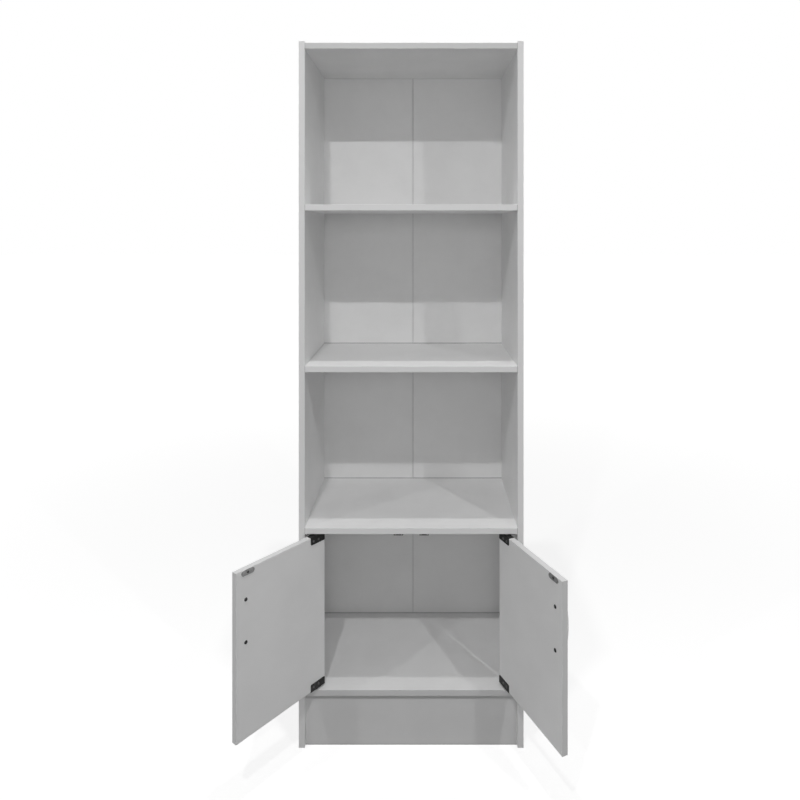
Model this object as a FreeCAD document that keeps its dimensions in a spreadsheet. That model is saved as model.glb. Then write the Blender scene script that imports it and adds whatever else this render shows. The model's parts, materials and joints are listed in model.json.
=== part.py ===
"""Tall white bookcase: three open bays above a cabinet bay with two pivot-hung doors.

Millimetres. +Z is up, the front faces -Y, and the origin lies on the floor under the
middle of the carcase. The doors stand open as they do in the picture of the bookcase.
"""
import FreeCAD, Part
import os
import re
import Sketcher

V = FreeCAD.Vector
X_AXIS = V(1, 0, 0)
Y_AXIS = V(0, 1, 0)
Z_AXIS = V(0, 0, 1)
FULL_TURN = 360
COUNTERSINK_ANGLE = 90

# Driving dimensions: alias, value and meaning, one row of the sheet each
SIZES = (
    # Carcase
    ("case_width", 560, "outside width over the side panels"),
    ("case_depth", 330, "outside depth, front edges to the back of the back leaves"),
    ("board", 15, "thickness of the sides, shelves and plinth"),
    ("bay_height", 388, "clear height of each bay"),
    ("plinth_height", 129, "floor to the underside of the cabinet floor"),
    ("plinth_setback", 10, "plinth behind the front edges"),
    ("top_drop", 4, "top panel below the upper ends of the sides"),
    ("edge_round", 0.8, "rounding of the banded edges"),
    ("back_board", 3, "thickness of the back leaves"),
    ("back_margin", 2, "back leaves inside the outline of the carcase"),
    ("back_joint", 1.5, "open joint between the two back leaves"),
    # Screws that hold the carcase, with their caps
    ("panel_screw_head", 10, "head diameter"),
    ("panel_screw_neck", 7, "neck diameter, inside the side panel"),
    ("panel_screw_core", 5, "core diameter, inside the shelf end"),
    ("panel_screw_length", 50, "whole length"),
    ("panel_screw_socket", 4.4, "driver socket diameter"),
    ("panel_screw_socket_depth", 5, "driver socket depth"),
    ("panel_screw_inset", 55, "screw from the front or rear end of a shelf's end"),
    ("plinth_screw_inset", 35, "screw from the upper or lower edge of the plinth"),
    ("cap_diameter", 13, "screw cap"),
    ("cap_height", 1.6, "screw cap above the side panel"),
    ("cap_rim", 0.7, "height of the screw cap's upright rim"),
    ("cap_crown", 9, "diameter of the screw cap's flat crown"),
    ("cap_stem", 4, "stem diameter, inside the driver socket"),
    ("cap_stem_length", 4, "stem length"),
    # Nails that hold the back leaves
    ("nail_shank", 1.6, "shank diameter"),
    ("nail_length", 20, "shank length under the head"),
    ("nail_head", 4, "head diameter"),
    ("nail_head_height", 0.8, "head height"),
    ("nail_inset", 60, "first nail of a row from the end of its row"),
    # Small screws
    ("flat_screw_head", 5.6, "countersunk head diameter"),
    ("flat_screw_shank", 3, "shank diameter"),
    ("flat_screw_length", 12, "whole length"),
    ("pan_screw_head", 6, "pan head diameter"),
    ("pan_screw_head_height", 1.8, "pan head height"),
    ("pan_screw_shank", 3, "shank diameter"),
    ("pan_screw_length", 11, "length under the head"),
    ("screw_fit", 0.05, "radial clearance round every screw and nail"),
    ("pilot_overrun", 1, "depth of a pilot hole beyond its screw"),
    # Doors
    ("door_board", 15, "door thickness"),
    ("door_side_gap", 1.5, "shut door to the side panel"),
    ("door_middle_gap", 3, "between the two shut doors"),
    ("left_open_angle", 129.3, "left door from shut, degrees"),
    ("right_open_angle", 114.3, "right door from shut, degrees"),
    # Pivot hinges
    ("hinge_inset", 24, "pivot axis from the hinge edge of the door"),
    ("hinge_metal", 1.5, "thickness of the hinge leaves and plates"),
    ("hinge_play", 0.2, "running gap between washer and leaf"),
    ("washer_thickness", 1, "spacer washer"),
    ("washer_diameter", 11, "spacer washer"),
    ("pin_diameter", 5, "pivot pin"),
    ("pin_fit", 0.05, "radial running clearance round the pivot pin"),
    ("pin_reach", 5, "pivot pin inside the door edge"),
    ("pin_relief", 1, "room round and beyond the pin inside the door edge"),
    ("pin_tip", 0.8, "chamfer at the tip of the pin"),
    ("leaf_length", 45, "door leaf along the door"),
    ("leaf_height", 17.5, "door leaf down or up the inner face"),
    ("leaf_margin", 1, "door leaf inside the hinge edge and the outer face"),
    ("leaf_corner", 3, "rounded free corners of the door leaf"),
    ("leaf_screw_drop", 9.5, "leaf screws from the top or bottom edge of the door"),
    ("leaf_near_screw", 20, "first leaf screw from the hinge end of the leaf"),
    ("leaf_far_screw", 36, "second leaf screw from the hinge end of the leaf"),
    ("plate_width", 13, "carcase plate, and the diameter of its round end"),
    ("plate_reach", 21, "carcase plate from the pivot towards the side panel"),
    ("plate_corner", 2.5, "rounded corners of the carcase plate"),
    ("plate_near_screw", 9, "first plate screw from the pivot"),
    ("plate_far_screw", 16, "second plate screw from the pivot"),
    # Strike plates and magnetic catches
    ("strike_length", 34.5, "strike plate along the door"),
    ("strike_width", 12, "strike plate down the door"),
    ("strike_thickness", 1.5, "strike plate"),
    ("strike_inset", 31, "middle of the strike plate from the free edge of the door"),
    ("strike_drop", 0.5, "strike plate below the top edge of the door"),
    ("catch_gap", 0.3, "shut strike plate to the poles of the catch"),
    ("catch_width", 24, "catch housing"),
    ("catch_height", 11.3, "catch housing below the shelf"),
    ("catch_depth", 16, "catch housing from front to rear"),
    ("catch_corner", 1.5, "rounded upright corners of the catch housing"),
    ("catch_ear", 9, "screw ear beyond the housing"),
    ("catch_ear_thickness", 2.5, "screw ear"),
    ("catch_fit", 0.1, "clearance round the poles and magnet in the housing"),
    ("pole_thickness", 1.5, "steel pole plate"),
    ("pole_proud", 0.8, "poles in front of the housing and the magnet"),
    ("magnet_width", 14, "magnet between the poles"),
    ("magnet_height", 6.5, "magnet and poles"),
    ("magnet_depth", 11, "magnet behind the front of the housing"),
    # Handles
    ("handle_pitch", 96, "between the two handle screws"),
    ("handle_drop", 67, "upper handle screw below the top edge of the door"),
    ("handle_inset", 26, "handle screws from the free edge of the door"),
    ("handle_projection", 19, "handle in front of the door"),
    ("handle_rise", 7, "bow of the grip above its shoulders"),
    ("handle_grip", 6, "thickness of the grip"),
    ("handle_width", 11, "width of the grip and feet"),
    ("handle_foot", 11, "length of a foot on the door"),
    ("handle_shoulder", 6, "rounding of the outer shoulders"),
    ("handle_throat", 3, "rounding of the inner shoulders"),
    ("handle_soften", 2.2, "rounding of the long edges"),
    ("handle_screw_head", 8.5, "head diameter"),
    ("handle_screw_head_height", 2.4, "head height"),
    ("handle_screw_shank", 4, "shank diameter"),
    ("handle_screw_bite", 8, "screw inside the handle foot"),
)
ALIASES = {alias for alias, value, meaning in SIZES}
SIDES = {"left": 1, "right": -1}
LEVELS = ("upper", "lower")
BAY_COUNT = 4
SIDE_NAIL_COUNT = 9
# A pan head keeps this much of its height as an upright rim, and of its radius as a flat crown
HEAD_RIM_SHARE = 0.45
HEAD_CROWN_SHARE = 0.6

# Derived sizes and places, as formulas in the sheet's aliases
FRONT = "(-case_depth / 2)"
INNER_WIDTH = "(case_width - 2 * board)"
SHELF_DEPTH = "(case_depth - back_board)"
BAY_PITCH = "(bay_height + board)"
CABINET_FLOOR_TOP = "(plinth_height + board)"
CABINET_CEILING = "(plinth_height + board + bay_height)"
TOP_PANEL_BASE = f"(plinth_height + {BAY_COUNT} * {BAY_PITCH})"
SIDE_HEIGHT = f"({TOP_PANEL_BASE} + board + top_drop)"
BACK_BASE = "(plinth_height + back_margin)"
BACK_HEIGHT = f"({SIDE_HEIGHT} - top_drop - back_margin - {BACK_BASE})"
BACK_LEAF_WIDTH = "(case_width / 2 - back_margin - back_joint / 2)"
SHELF_NAIL_X = (
    f"({INNER_WIDTH} / 2 - nail_inset)",
    "(nail_inset)",
)
HINGE_STACK = "(2 * hinge_metal + washer_thickness + hinge_play)"
DOOR_HEIGHT = f"(bay_height - 2 * {HINGE_STACK})"
DOOR_WIDTH = f"(({INNER_WIDTH} - door_middle_gap) / 2 - door_side_gap)"
DOOR_BASE = f"({CABINET_FLOOR_TOP} + {HINGE_STACK})"
FREE_EDGE = f"({DOOR_WIDTH} - hinge_inset)"
PIVOT_X = f"({INNER_WIDTH} / 2 - door_side_gap - hinge_inset)"
PIVOT_Y = f"({FRONT} + door_board / 2)"
INNER_FACE = "(door_board / 2)"
LEAF_START = "(leaf_margin - hinge_inset)"
STRIKE_X = f"({FREE_EDGE} - strike_inset)"
STRIKE_Z = f"({DOOR_HEIGHT} - strike_drop - strike_width / 2)"
CATCH_X = "(door_middle_gap / 2 + strike_inset)"
CATCH_FRONT = f"({FRONT} + door_board + strike_thickness + catch_gap + pole_proud)"
CATCH_SCREW_X = "((catch_width + catch_ear) / 2)"
MAGNET_BASE = "(-(catch_ear_thickness + catch_height + magnet_height) / 2)"
HANDLE_X = f"({FREE_EDGE} - handle_inset)"
HANDLE_MIDDLE_Z = f"({DOOR_HEIGHT} - handle_drop - handle_pitch / 2)"

doc = FreeCAD.newDocument("bookcase")
sheet = doc.addObject("Spreadsheet::Sheet", "dims")
nodes = []


# The sheet and the formulas

def fill_sheet():
    """Writes each driving dimension, with its alias and its meaning."""
    for row, (alias, number, meaning) in enumerate(SIZES, start=1):
        sheet.set(f"A{row}", alias)
        sheet.set(f"B{row}", str(number))
        sheet.set(f"C{row}", meaning)
        sheet.setAlias(f"B{row}", alias)
    doc.recompute()


def expression(formula):
    """Spells a formula in aliases as an expression that reads the sheet."""
    def named(match):
        word = match.group(0)
        return f"dims.{word}" if word in ALIASES else word
    return re.sub(r"[a-z_]+", named, formula)


def bind(item, prop, formula):
    """Ties one property of a document object to a formula."""
    item.setExpression(prop, expression(formula))


def place(item, x, y, z, turn="0"):
    """Ties an object's place, and its turn about Z in degrees, to formulas."""
    bind(item, "Placement.Base.x", x)
    bind(item, "Placement.Base.y", y)
    bind(item, "Placement.Base.z", z)
    if turn != "0":
        bind(item, "Placement.Rotation.Angle", turn)


def node(item, label):
    """Registers an object as a sub-part under its own label."""
    item.Label = label
    nodes.append(item)
    return item


# Sketches and features

def new_body(name):
    return doc.addObject("PartDesign::Body", name)


def sketch_on(body, role, x="0", y="0", away="0"):
    """A sketch on an origin plane, shifted in its plane and along the plane's normal."""
    sketch = body.newObject("Sketcher::SketchObject", body.Name + "_sketch")
    plane = [item for item in body.Origin.OriginFeatures if item.Role == role]
    sketch.AttachmentSupport = [(plane[0], "")]
    sketch.MapMode = "FlatFace"
    bind(sketch, "AttachmentOffset.Base.x", x)
    bind(sketch, "AttachmentOffset.Base.y", y)
    bind(sketch, "AttachmentOffset.Base.z", away)
    return sketch


def tie_point(sketch, geometry, point, x, y):
    """Ties one point of a sketch to a place in the sketch plane."""
    spot = sketch.getPoint(geometry, point)
    for kind, reach, formula in (("DistanceX", spot.x, x), ("DistanceY", spot.y, y)):
        index = sketch.addConstraint(Sketcher.Constraint(kind, -1, 1, geometry, point, reach))
        bind(sketch, f"Constraints[{index}]", formula)


def draw_outline(sketch, corners):
    """A closed outline of straight lines through corners given as formulas."""
    count = len(corners)
    for index in range(count):
        start = V(index, index % 2, 0)
        end = V((index + 1) % count, (index + 1) % 2, 0)
        sketch.addGeometry(Part.LineSegment(start, end), False)
    for index in range(count):
        joined = Sketcher.Constraint("Coincident", index, 2, (index + 1) % count, 1)
        sketch.addConstraint(joined)
    for index, (x, y) in enumerate(corners):
        tie_point(sketch, index, 1, x, y)


def draw_rectangle(sketch, width, height):
    """A rectangle with one corner on the sketch's origin."""
    draw_outline(sketch, (("0", "0"), (width, "0"), (width, height), ("0", height)))


def draw_circles(sketch, places, diameter):
    """Equal circles at places given as formulas."""
    for index, (x, y) in enumerate(places):
        sketch.addGeometry(Part.Circle(V(0, 0, 0), Z_AXIS, 1.0), False)
        tie_point(sketch, index, 3, x, y)
        if index:
            sketch.addConstraint(Sketcher.Constraint("Equal", 0, index))
        else:
            first = sketch.addConstraint(Sketcher.Constraint("Diameter", index, 1.0))
            bind(sketch, f"Constraints[{first}]", diameter)


def pad(body, sketch, length):
    feature = body.newObject("PartDesign::Pad", body.Name + "_pad")
    feature.Profile = sketch
    bind(feature, "Length", length)
    doc.recompute()
    return feature


def cut(body, sketch, depth, along_normal):
    """A pocket of the given depth, which has to take material away."""
    before = body.Shape.Volume
    feature = body.newObject("PartDesign::Pocket", body.Name + "_pocket")
    feature.Profile = sketch
    feature.Reversed = along_normal
    bind(feature, "Length", depth)
    doc.recompute()
    if body.Shape.Volume >= before:
        raise RuntimeError(f"{feature.Name} cuts nothing")
    return feature


def drill(body, role, away, along_normal, places, diameter, depth):
    """Round holes from a plane of the body."""
    sketch = sketch_on(body, role, away=away)
    draw_circles(sketch, places, diameter)
    return cut(body, sketch, depth, along_normal)


def countersink(body, role, away, along_normal, places, shank, head):
    """Through holes with a countersunk mouth on the plane that they start from."""
    before = body.Shape.Volume
    sketch = sketch_on(body, role, away=away)
    draw_circles(sketch, places, shank)
    feature = body.newObject("PartDesign::Hole", body.Name + "_hole")
    feature.Profile = sketch
    doc.recompute()
    feature.ThreadType = "None"
    feature.DepthType = "ThroughAll"
    feature.Reversed = along_normal
    feature.HoleCutType = "Countersink"
    feature.HoleCutCustomValues = True
    bind(feature, "Diameter", shank)
    bind(feature, "HoleCutDiameter", head)
    feature.HoleCutCountersinkAngle = COUNTERSINK_ANGLE
    doc.recompute()
    if body.Shape.Volume >= before:
        raise RuntimeError(f"{feature.Name} cuts nothing")


def round_edges(body, radius, wanted):
    """Rounds the edges of the body's tip that the test picks out."""
    base = body.Tip
    names = [f"Edge{index}" for index, edge in enumerate(base.Shape.Edges, start=1) if wanted(edge)]
    if not names:
        raise RuntimeError(f"{body.Name} has no edge to round")
    feature = body.newObject("PartDesign::Fillet", body.Name + "_fillet")
    feature.Base = (base, names)
    bind(feature, "Radius", radius)
    doc.recompute()


def runs_along(edge, axis):
    """True for a straight edge along one of the body's axes."""
    if edge.Curve.TypeId != "Part::GeomLine":
        return False
    return abs(edge.Curve.Direction.dot(axis)) > 1 - Part.Precision.confusion()


def touches(edge, axis, level):
    """True for an edge that lies in a plane square to the axis."""
    reached = [vertex.Point.dot(axis) - level for vertex in edge.Vertexes]
    return max(abs(gap) for gap in reached) < Part.Precision.approximation()


def front_edge(axis):
    """A test for the edges along an axis that lie in the front of a board."""
    return lambda edge: runs_along(edge, axis) and touches(edge, Y_AXIS, 0)


def turned(name, profile):
    """A body turned about Z from a profile of (radius, height) formulas."""
    body = new_body(name)
    sketch = sketch_on(body, "XZ_Plane")
    draw_outline(sketch, profile)
    feature = body.newObject("PartDesign::Revolution", name + "_turn")
    feature.Profile = sketch
    feature.ReferenceAxis = (sketch, ["V_Axis"])
    feature.Angle = FULL_TURN
    doc.recompute()
    return body


def block(name, width, depth, height, x="0", y="0", z="0"):
    """A rectangular body with its lowest corner at a place in its own frame."""
    body = new_body(name)
    sketch = sketch_on(body, "XY_Plane", x, y, z)
    draw_rectangle(sketch, width, depth)
    pad(body, sketch, height)
    return body


def scatter(label, pattern, places, towards, carrier=None):
    """One node of like pieces: the pattern's +Z points towards the given direction."""
    links = []
    for index, (x, y, z) in enumerate(places):
        link = doc.addObject("App::Link", f"{label}_{index}")
        link.LinkedObject = pattern
        facing = towards[index] if isinstance(towards, list) else towards
        link.Placement = FreeCAD.Placement(V(0, 0, 0), FreeCAD.Rotation(Z_AXIS, facing))
        place(link, x, y, z)
        links.append(link)
    group = doc.addObject("Part::Compound", label)
    group.Links = links
    if carrier:
        place(group, *carrier)
    return node(group, label)


# Fasteners, each with its head's seat at height zero

def panel_screw_pattern():
    head_depth = "(panel_screw_head - panel_screw_neck) / 2"
    return turned("panel_screw_pattern", (
        ("panel_screw_socket / 2", "0"),
        ("panel_screw_head / 2", "0"),
        ("panel_screw_neck / 2", f"-({head_depth})"),
        ("panel_screw_neck / 2", "-board"),
        ("panel_screw_core / 2", "-board"),
        ("panel_screw_core / 2", "-panel_screw_length"),
        ("0", "-panel_screw_length"),
        ("0", "-panel_screw_socket_depth"),
        ("panel_screw_socket / 2", "-panel_screw_socket_depth"),
    ))


def screw_cap_pattern():
    return turned("screw_cap_pattern", (
        ("0", "-cap_stem_length"),
        ("cap_stem / 2", "-cap_stem_length"),
        ("cap_stem / 2", "0"),
        ("cap_diameter / 2", "0"),
        ("cap_diameter / 2", "cap_rim"),
        ("cap_crown / 2", "cap_height"),
        ("0", "cap_height"),
    ))


def nail_pattern():
    return turned("nail_pattern", (
        ("0", "-nail_length"),
        ("nail_shank / 2", "-nail_length"),
        ("nail_shank / 2", "0"),
        ("nail_head / 2", "0"),
        ("nail_head / 2", "nail_head_height"),
        ("0", "nail_head_height"),
    ))


def flat_screw_pattern():
    return turned("flat_screw_pattern", (
        ("0", "-flat_screw_length"),
        ("flat_screw_shank / 2", "-flat_screw_length"),
        ("flat_screw_shank / 2", "-(flat_screw_head - flat_screw_shank) / 2"),
        ("flat_screw_head / 2", "0"),
        ("0", "0"),
    ))


def pan_head_pattern(name, head, head_height, shank, length):
    return turned(name, (
        ("0", f"-({length})"),
        (f"{shank} / 2", f"-({length})"),
        (f"{shank} / 2", "0"),
        (f"{head} / 2", "0"),
        (f"{head} / 2", f"{HEAD_RIM_SHARE} * {head_height}"),
        (f"{HEAD_CROWN_SHARE} * {head} / 2", head_height),
        ("0", head_height),
    ))


# Carcase boards

def shelf_screw_depths():
    """Depths of the panel screws behind the front edges."""
    return ("panel_screw_inset", f"({SHELF_DEPTH} - panel_screw_inset)")


def shelf_bases():
    """Undersides of the boards between the sides, from the cabinet floor to the top panel."""
    return [f"(plinth_height + {index} * {BAY_PITCH})" for index in range(BAY_COUNT + 1)]


def panel_screw_places():
    """Depth and height of every panel screw on one side panel."""
    places = []
    for base in shelf_bases():
        for depth in shelf_screw_depths():
            places.append((depth, f"({base} + board / 2)"))
    for height in ("plinth_screw_inset", "(plinth_height - plinth_screw_inset)"):
        places.append(("(plinth_setback + board / 2)", height))
    return places


def side_nail_heights():
    """Heights of the nails up one side panel."""
    first = f"({BACK_BASE} + nail_inset / 2)"
    spread = f"({BACK_HEIGHT} - nail_inset)"
    step_count = SIDE_NAIL_COUNT - 1
    return [f"({first} + {index} * {spread} / {step_count})" for index in range(SIDE_NAIL_COUNT)]


def make_side_panel(side, sign):
    body = block(f"{side}_side_panel", "board", SHELF_DEPTH, SIDE_HEIGHT)
    round_edges(body, "edge_round", front_edge(Z_AXIS))
    countersink(
        body, "YZ_Plane", "0" if sign > 0 else "board", sign > 0, panel_screw_places(),
        "(panel_screw_neck + 2 * screw_fit)", "(panel_screw_head + 2 * screw_fit)",
    )
    nails = [("board / 2", height) for height in side_nail_heights()]
    drill(
        body, "XZ_Plane", f"-{SHELF_DEPTH}", True, nails,
        "(nail_shank + 2 * screw_fit)", "(nail_length - back_board + pilot_overrun)",
    )
    place(body, "-case_width / 2" if sign > 0 else "(case_width / 2 - board)", FRONT, "0")
    node(body, f"{side}_side_panel")


def drill_ends(body, places):
    """Holes for the panel screws in both ends of a board."""
    depth = "(panel_screw_length - board + pilot_overrun)"
    diameter = "(panel_screw_core + 2 * screw_fit)"
    drill(body, "YZ_Plane", "0", True, places, diameter, depth)
    drill(body, "YZ_Plane", INNER_WIDTH, False, places, diameter, depth)


def make_shelf(label, base):
    """One board between the sides, from the front edges to the back leaves."""
    body = block(label, INNER_WIDTH, SHELF_DEPTH, "board")
    round_edges(body, "edge_round", front_edge(X_AXIS))
    drill_ends(body, [(depth, "board / 2") for depth in shelf_screw_depths()])
    nails = []
    for sign in SIDES.values():
        nails += [(f"({INNER_WIDTH} / 2 + {sign} * {x})", "board / 2") for x in SHELF_NAIL_X]
    drill(
        body, "XZ_Plane", f"-{SHELF_DEPTH}", True, nails,
        "(nail_shank + 2 * screw_fit)", "(nail_length - back_board + pilot_overrun)",
    )
    place(body, f"-{INNER_WIDTH} / 2", FRONT, base)
    return node(body, label)


def make_plinth():
    body = block("plinth_board", INNER_WIDTH, "board", "plinth_height")
    drill_ends(body, [("board / 2", height) for depth, height in panel_screw_places()[-2:]])
    place(body, f"-{INNER_WIDTH} / 2", f"({FRONT} + plinth_setback)", "0")
    node(body, "plinth_board")


def back_nail_places():
    """World places of every nail through the back leaves."""
    rear = "(case_depth / 2)"
    places = []
    for sign in SIDES.values():
        edge = f"({-sign} * (case_width - board) / 2)"
        places += [(edge, rear, height) for height in side_nail_heights()]
        for base in shelf_bases():
            places += [(f"({-sign} * {x})", rear, f"({base} + board / 2)") for x in SHELF_NAIL_X]
    return places


def make_back_leaf(side, sign):
    near = "back_joint / 2"
    start = f"-({near} + {BACK_LEAF_WIDTH})" if sign > 0 else near
    body = block(f"{side}_back_leaf", BACK_LEAF_WIDTH, "back_board", BACK_HEIGHT)
    own = len(back_nail_places()) // len(SIDES)
    mine = back_nail_places()[:own] if sign > 0 else back_nail_places()[own:]
    nails = [(f"({x} - ({start}))", f"({z} - {BACK_BASE})") for x, y, z in mine]
    drill(body, "XZ_Plane", "-back_board", True, nails, "(nail_shank + 2 * screw_fit)", "2 * back_board")
    place(body, start, "(case_depth / 2 - back_board)", BACK_BASE)
    node(body, f"{side}_back_leaf")


def make_case_fasteners():
    """Panel screws, their caps, and the nails of the back."""
    places = []
    facing = []
    for sign in SIDES.values():
        for depth, height in panel_screw_places():
            places.append((f"({-sign} * case_width / 2)", f"({FRONT} + {depth})", height))
            facing.append(V(-sign, 0, 0))
    scatter("panel_screws", panel_screw_pattern(), places, facing)
    scatter("screw_caps", screw_cap_pattern(), places, facing)
    scatter("back_nails", nail_pattern(), back_nail_places(), Y_AXIS)


# Hinge plates, pins and washers on the carcase

def plate_screw_offsets():
    return ("plate_near_screw", "plate_far_screw")


def hinge_seat(sign, level):
    """World place of a hinge's pivot on the board that carries its plate."""
    height = CABINET_CEILING if level == "upper" else CABINET_FLOOR_TOP
    return f"({-sign} * {PIVOT_X})", PIVOT_Y, height


def hang(item, sign, level):
    """Puts a hinge piece, drawn standing on its board, on the floor or under the ceiling."""
    if level == "upper":
        item.Placement = FreeCAD.Placement(V(0, 0, 0), FreeCAD.Rotation(X_AXIS, FULL_TURN / 2))
    place(item, *hinge_seat(sign, level))


def make_hinge_plate(side, sign, level):
    name = f"{side}_{level}_hinge_plate"
    start = "-plate_reach" if sign > 0 else "0"
    body = block(name, "plate_reach", "plate_width", "hinge_metal", start, "-plate_width / 2")
    outer_end = V(-sign, 0, 0)

    def outer_corner(edge):
        return runs_along(edge, Z_AXIS) and touches(edge, outer_end, sheet.plate_reach)

    round_edges(body, "plate_corner", outer_corner)
    round_end = sketch_on(body, "XY_Plane")
    draw_circles(round_end, (("0", "0"),), "plate_width")
    pad(body, round_end, "hinge_metal")
    drill(
        body, "XY_Plane", "hinge_metal", False, (("0", "0"),),
        "(pin_diameter + 2 * pin_fit)", "2 * hinge_metal",
    )
    screws = [(f"{-sign} * {offset}", "0") for offset in plate_screw_offsets()]
    countersink(
        body, "XY_Plane", "hinge_metal", False, screws,
        "(flat_screw_shank + 2 * screw_fit)", "(flat_screw_head + 2 * screw_fit)",
    )
    hang(body, sign, level)
    node(body, name)


def make_hinge_pin(side, sign, level):
    name = f"{side}_{level}_hinge_pin"
    length = f"({HINGE_STACK} + pin_reach)"
    body = turned(name, (
        ("0", "0"),
        ("pin_diameter / 2", "0"),
        ("pin_diameter / 2", f"({length} - pin_tip)"),
        ("(pin_diameter / 2 - pin_tip)", length),
        ("0", length),
    ))
    hang(body, sign, level)
    node(body, name)


def make_hinge_washer(side, sign, level):
    name = f"{side}_{level}_hinge_washer"
    top = "(hinge_metal + washer_thickness)"
    inner = "(pin_diameter / 2 + pin_fit)"
    body = turned(name, (
        (inner, "hinge_metal"),
        ("washer_diameter / 2", "hinge_metal"),
        ("washer_diameter / 2", top),
        (inner, top),
    ))
    hang(body, sign, level)
    node(body, name)


def plate_screw_places():
    """World places of the plate screws, and the way each one's head faces."""
    places = []
    facing = []
    for sign in SIDES.values():
        for level in LEVELS:
            down = -1 if level == "upper" else 1
            x, y, z = hinge_seat(sign, level)
            for offset in plate_screw_offsets():
                places.append((f"({x} - {sign} * {offset})", y, f"({z} + {down} * hinge_metal)"))
                facing.append(V(0, 0, down))
    return places, facing


def drill_hinge_seats(shelf, level):
    """Pilot holes for the plate screws in the cabinet floor or ceiling."""
    away, along_normal = ("0", True) if level == "upper" else ("board", False)
    holes = []
    for sign in SIDES.values():
        x, y, z = hinge_seat(sign, level)
        for offset in plate_screw_offsets():
            holes.append((f"({x} - {sign} * {offset} + {INNER_WIDTH} / 2)", f"({y} - {FRONT})"))
    depth = "(flat_screw_length - hinge_metal + pilot_overrun)"
    drill(shelf, "XY_Plane", away, along_normal, holes, "(flat_screw_shank + 2 * screw_fit)", depth)


# Magnetic catches under the cabinet ceiling

def catch_seat(sign):
    return f"({-sign} * {CATCH_X})", CATCH_FRONT, CABINET_CEILING


def catch_screw_offsets():
    return [(f"({end} * {CATCH_SCREW_X})", "catch_depth / 2") for end in (1, -1)]


def make_catch(side, sign):
    """Housing, two steel poles and the magnet between them."""
    name = f"{side}_catch_housing"
    slot_width = "(magnet_width + 2 * pole_thickness + 2 * catch_fit)"
    body = block(
        name, "catch_width", "catch_depth", "catch_height",
        "-catch_width / 2", "0", "-catch_height",
    )
    round_edges(body, "catch_corner", lambda edge: runs_along(edge, Z_AXIS))
    ears = sketch_on(body, "XY_Plane", "-(catch_width / 2 + catch_ear)", "0", "-catch_ear_thickness")
    draw_rectangle(ears, "(catch_width + 2 * catch_ear)", "catch_depth")
    pad(body, ears, "catch_ear_thickness")
    slot = sketch_on(body, "XZ_Plane", f"-{slot_width} / 2", f"({MAGNET_BASE} - catch_fit)")
    draw_rectangle(slot, slot_width, "(magnet_height + 2 * catch_fit)")
    cut(body, slot, "(magnet_depth + catch_fit)", False)
    drill(
        body, "XY_Plane", "0", False, catch_screw_offsets(),
        "(pan_screw_shank + 2 * screw_fit)", "catch_height",
    )
    magnet = block(
        f"{side}_catch_magnet", "magnet_width", "magnet_depth", "magnet_height",
        "-magnet_width / 2", "0", MAGNET_BASE,
    )
    seat = catch_seat(sign)
    for piece, label in ((body, name), (magnet, f"{side}_catch_magnet")):
        place(piece, *seat)
        node(piece, label)
    pole = block(
        f"{side}_pole_pattern", "pole_thickness", "(magnet_depth + pole_proud)", "magnet_height",
        "-pole_thickness / 2", "-pole_proud", MAGNET_BASE,
    )
    pole_x = "(magnet_width + pole_thickness) / 2"
    poles = [(f"({seat[0]} + {end} * {pole_x})", seat[1], seat[2]) for end in (1, -1)]
    scatter(f"{side}_catch_poles", pole, poles, Z_AXIS)


def drill_catch_seats(shelf):
    """Pilot holes for the catch screws in the cabinet ceiling."""
    holes = []
    for sign in SIDES.values():
        x, y, z = catch_seat(sign)
        for dx, dy in catch_screw_offsets():
            holes.append((f"({x} + {dx} + {INNER_WIDTH} / 2)", f"({y} + {dy} - {FRONT})"))
    depth = "(pan_screw_length - catch_ear_thickness + pilot_overrun)"
    drill(shelf, "XY_Plane", "0", True, holes, "(pan_screw_shank + 2 * screw_fit)", depth)


def catch_screw_places():
    places = []
    for sign in SIDES.values():
        x, y, z = catch_seat(sign)
        for dx, dy in catch_screw_offsets():
            places.append((f"({x} + {dx})", f"({y} + {dy})", f"({z} - catch_ear_thickness)"))
    return places


# Doors, drawn round their pivot axis, with the free edge at +X on the left door

def door_carrier(side, sign):
    """Place and turn of everything that swings with one door."""
    return f"({-sign} * {PIVOT_X})", PIVOT_Y, DOOR_BASE, f"({-sign} * {side}_open_angle)"


def low_end(sign, near, far):
    """Lower X of a stretch between two distances from the pivot."""
    return near if sign > 0 else f"-({far})"


def beyond_edge(level, distance):
    """Height of a point beyond the door's upper or lower edge."""
    return f"({DOOR_HEIGHT} + {distance})" if level == "upper" else f"(-({distance}))"


def leaf_screw_places(sign, level):
    """Places of one leaf's screws along and up the door."""
    height = beyond_edge(level, "-leaf_screw_drop")
    reaches = ("leaf_near_screw", "leaf_far_screw")
    return [(f"({sign} * ({LEAF_START} + {along}))", height) for along in reaches]


def handle_screw_places(sign):
    x = f"({sign} * {HANDLE_X})"
    return [(x, f"({HANDLE_MIDDLE_Z} + {end} * handle_pitch / 2)") for end in (1, -1)]


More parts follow.
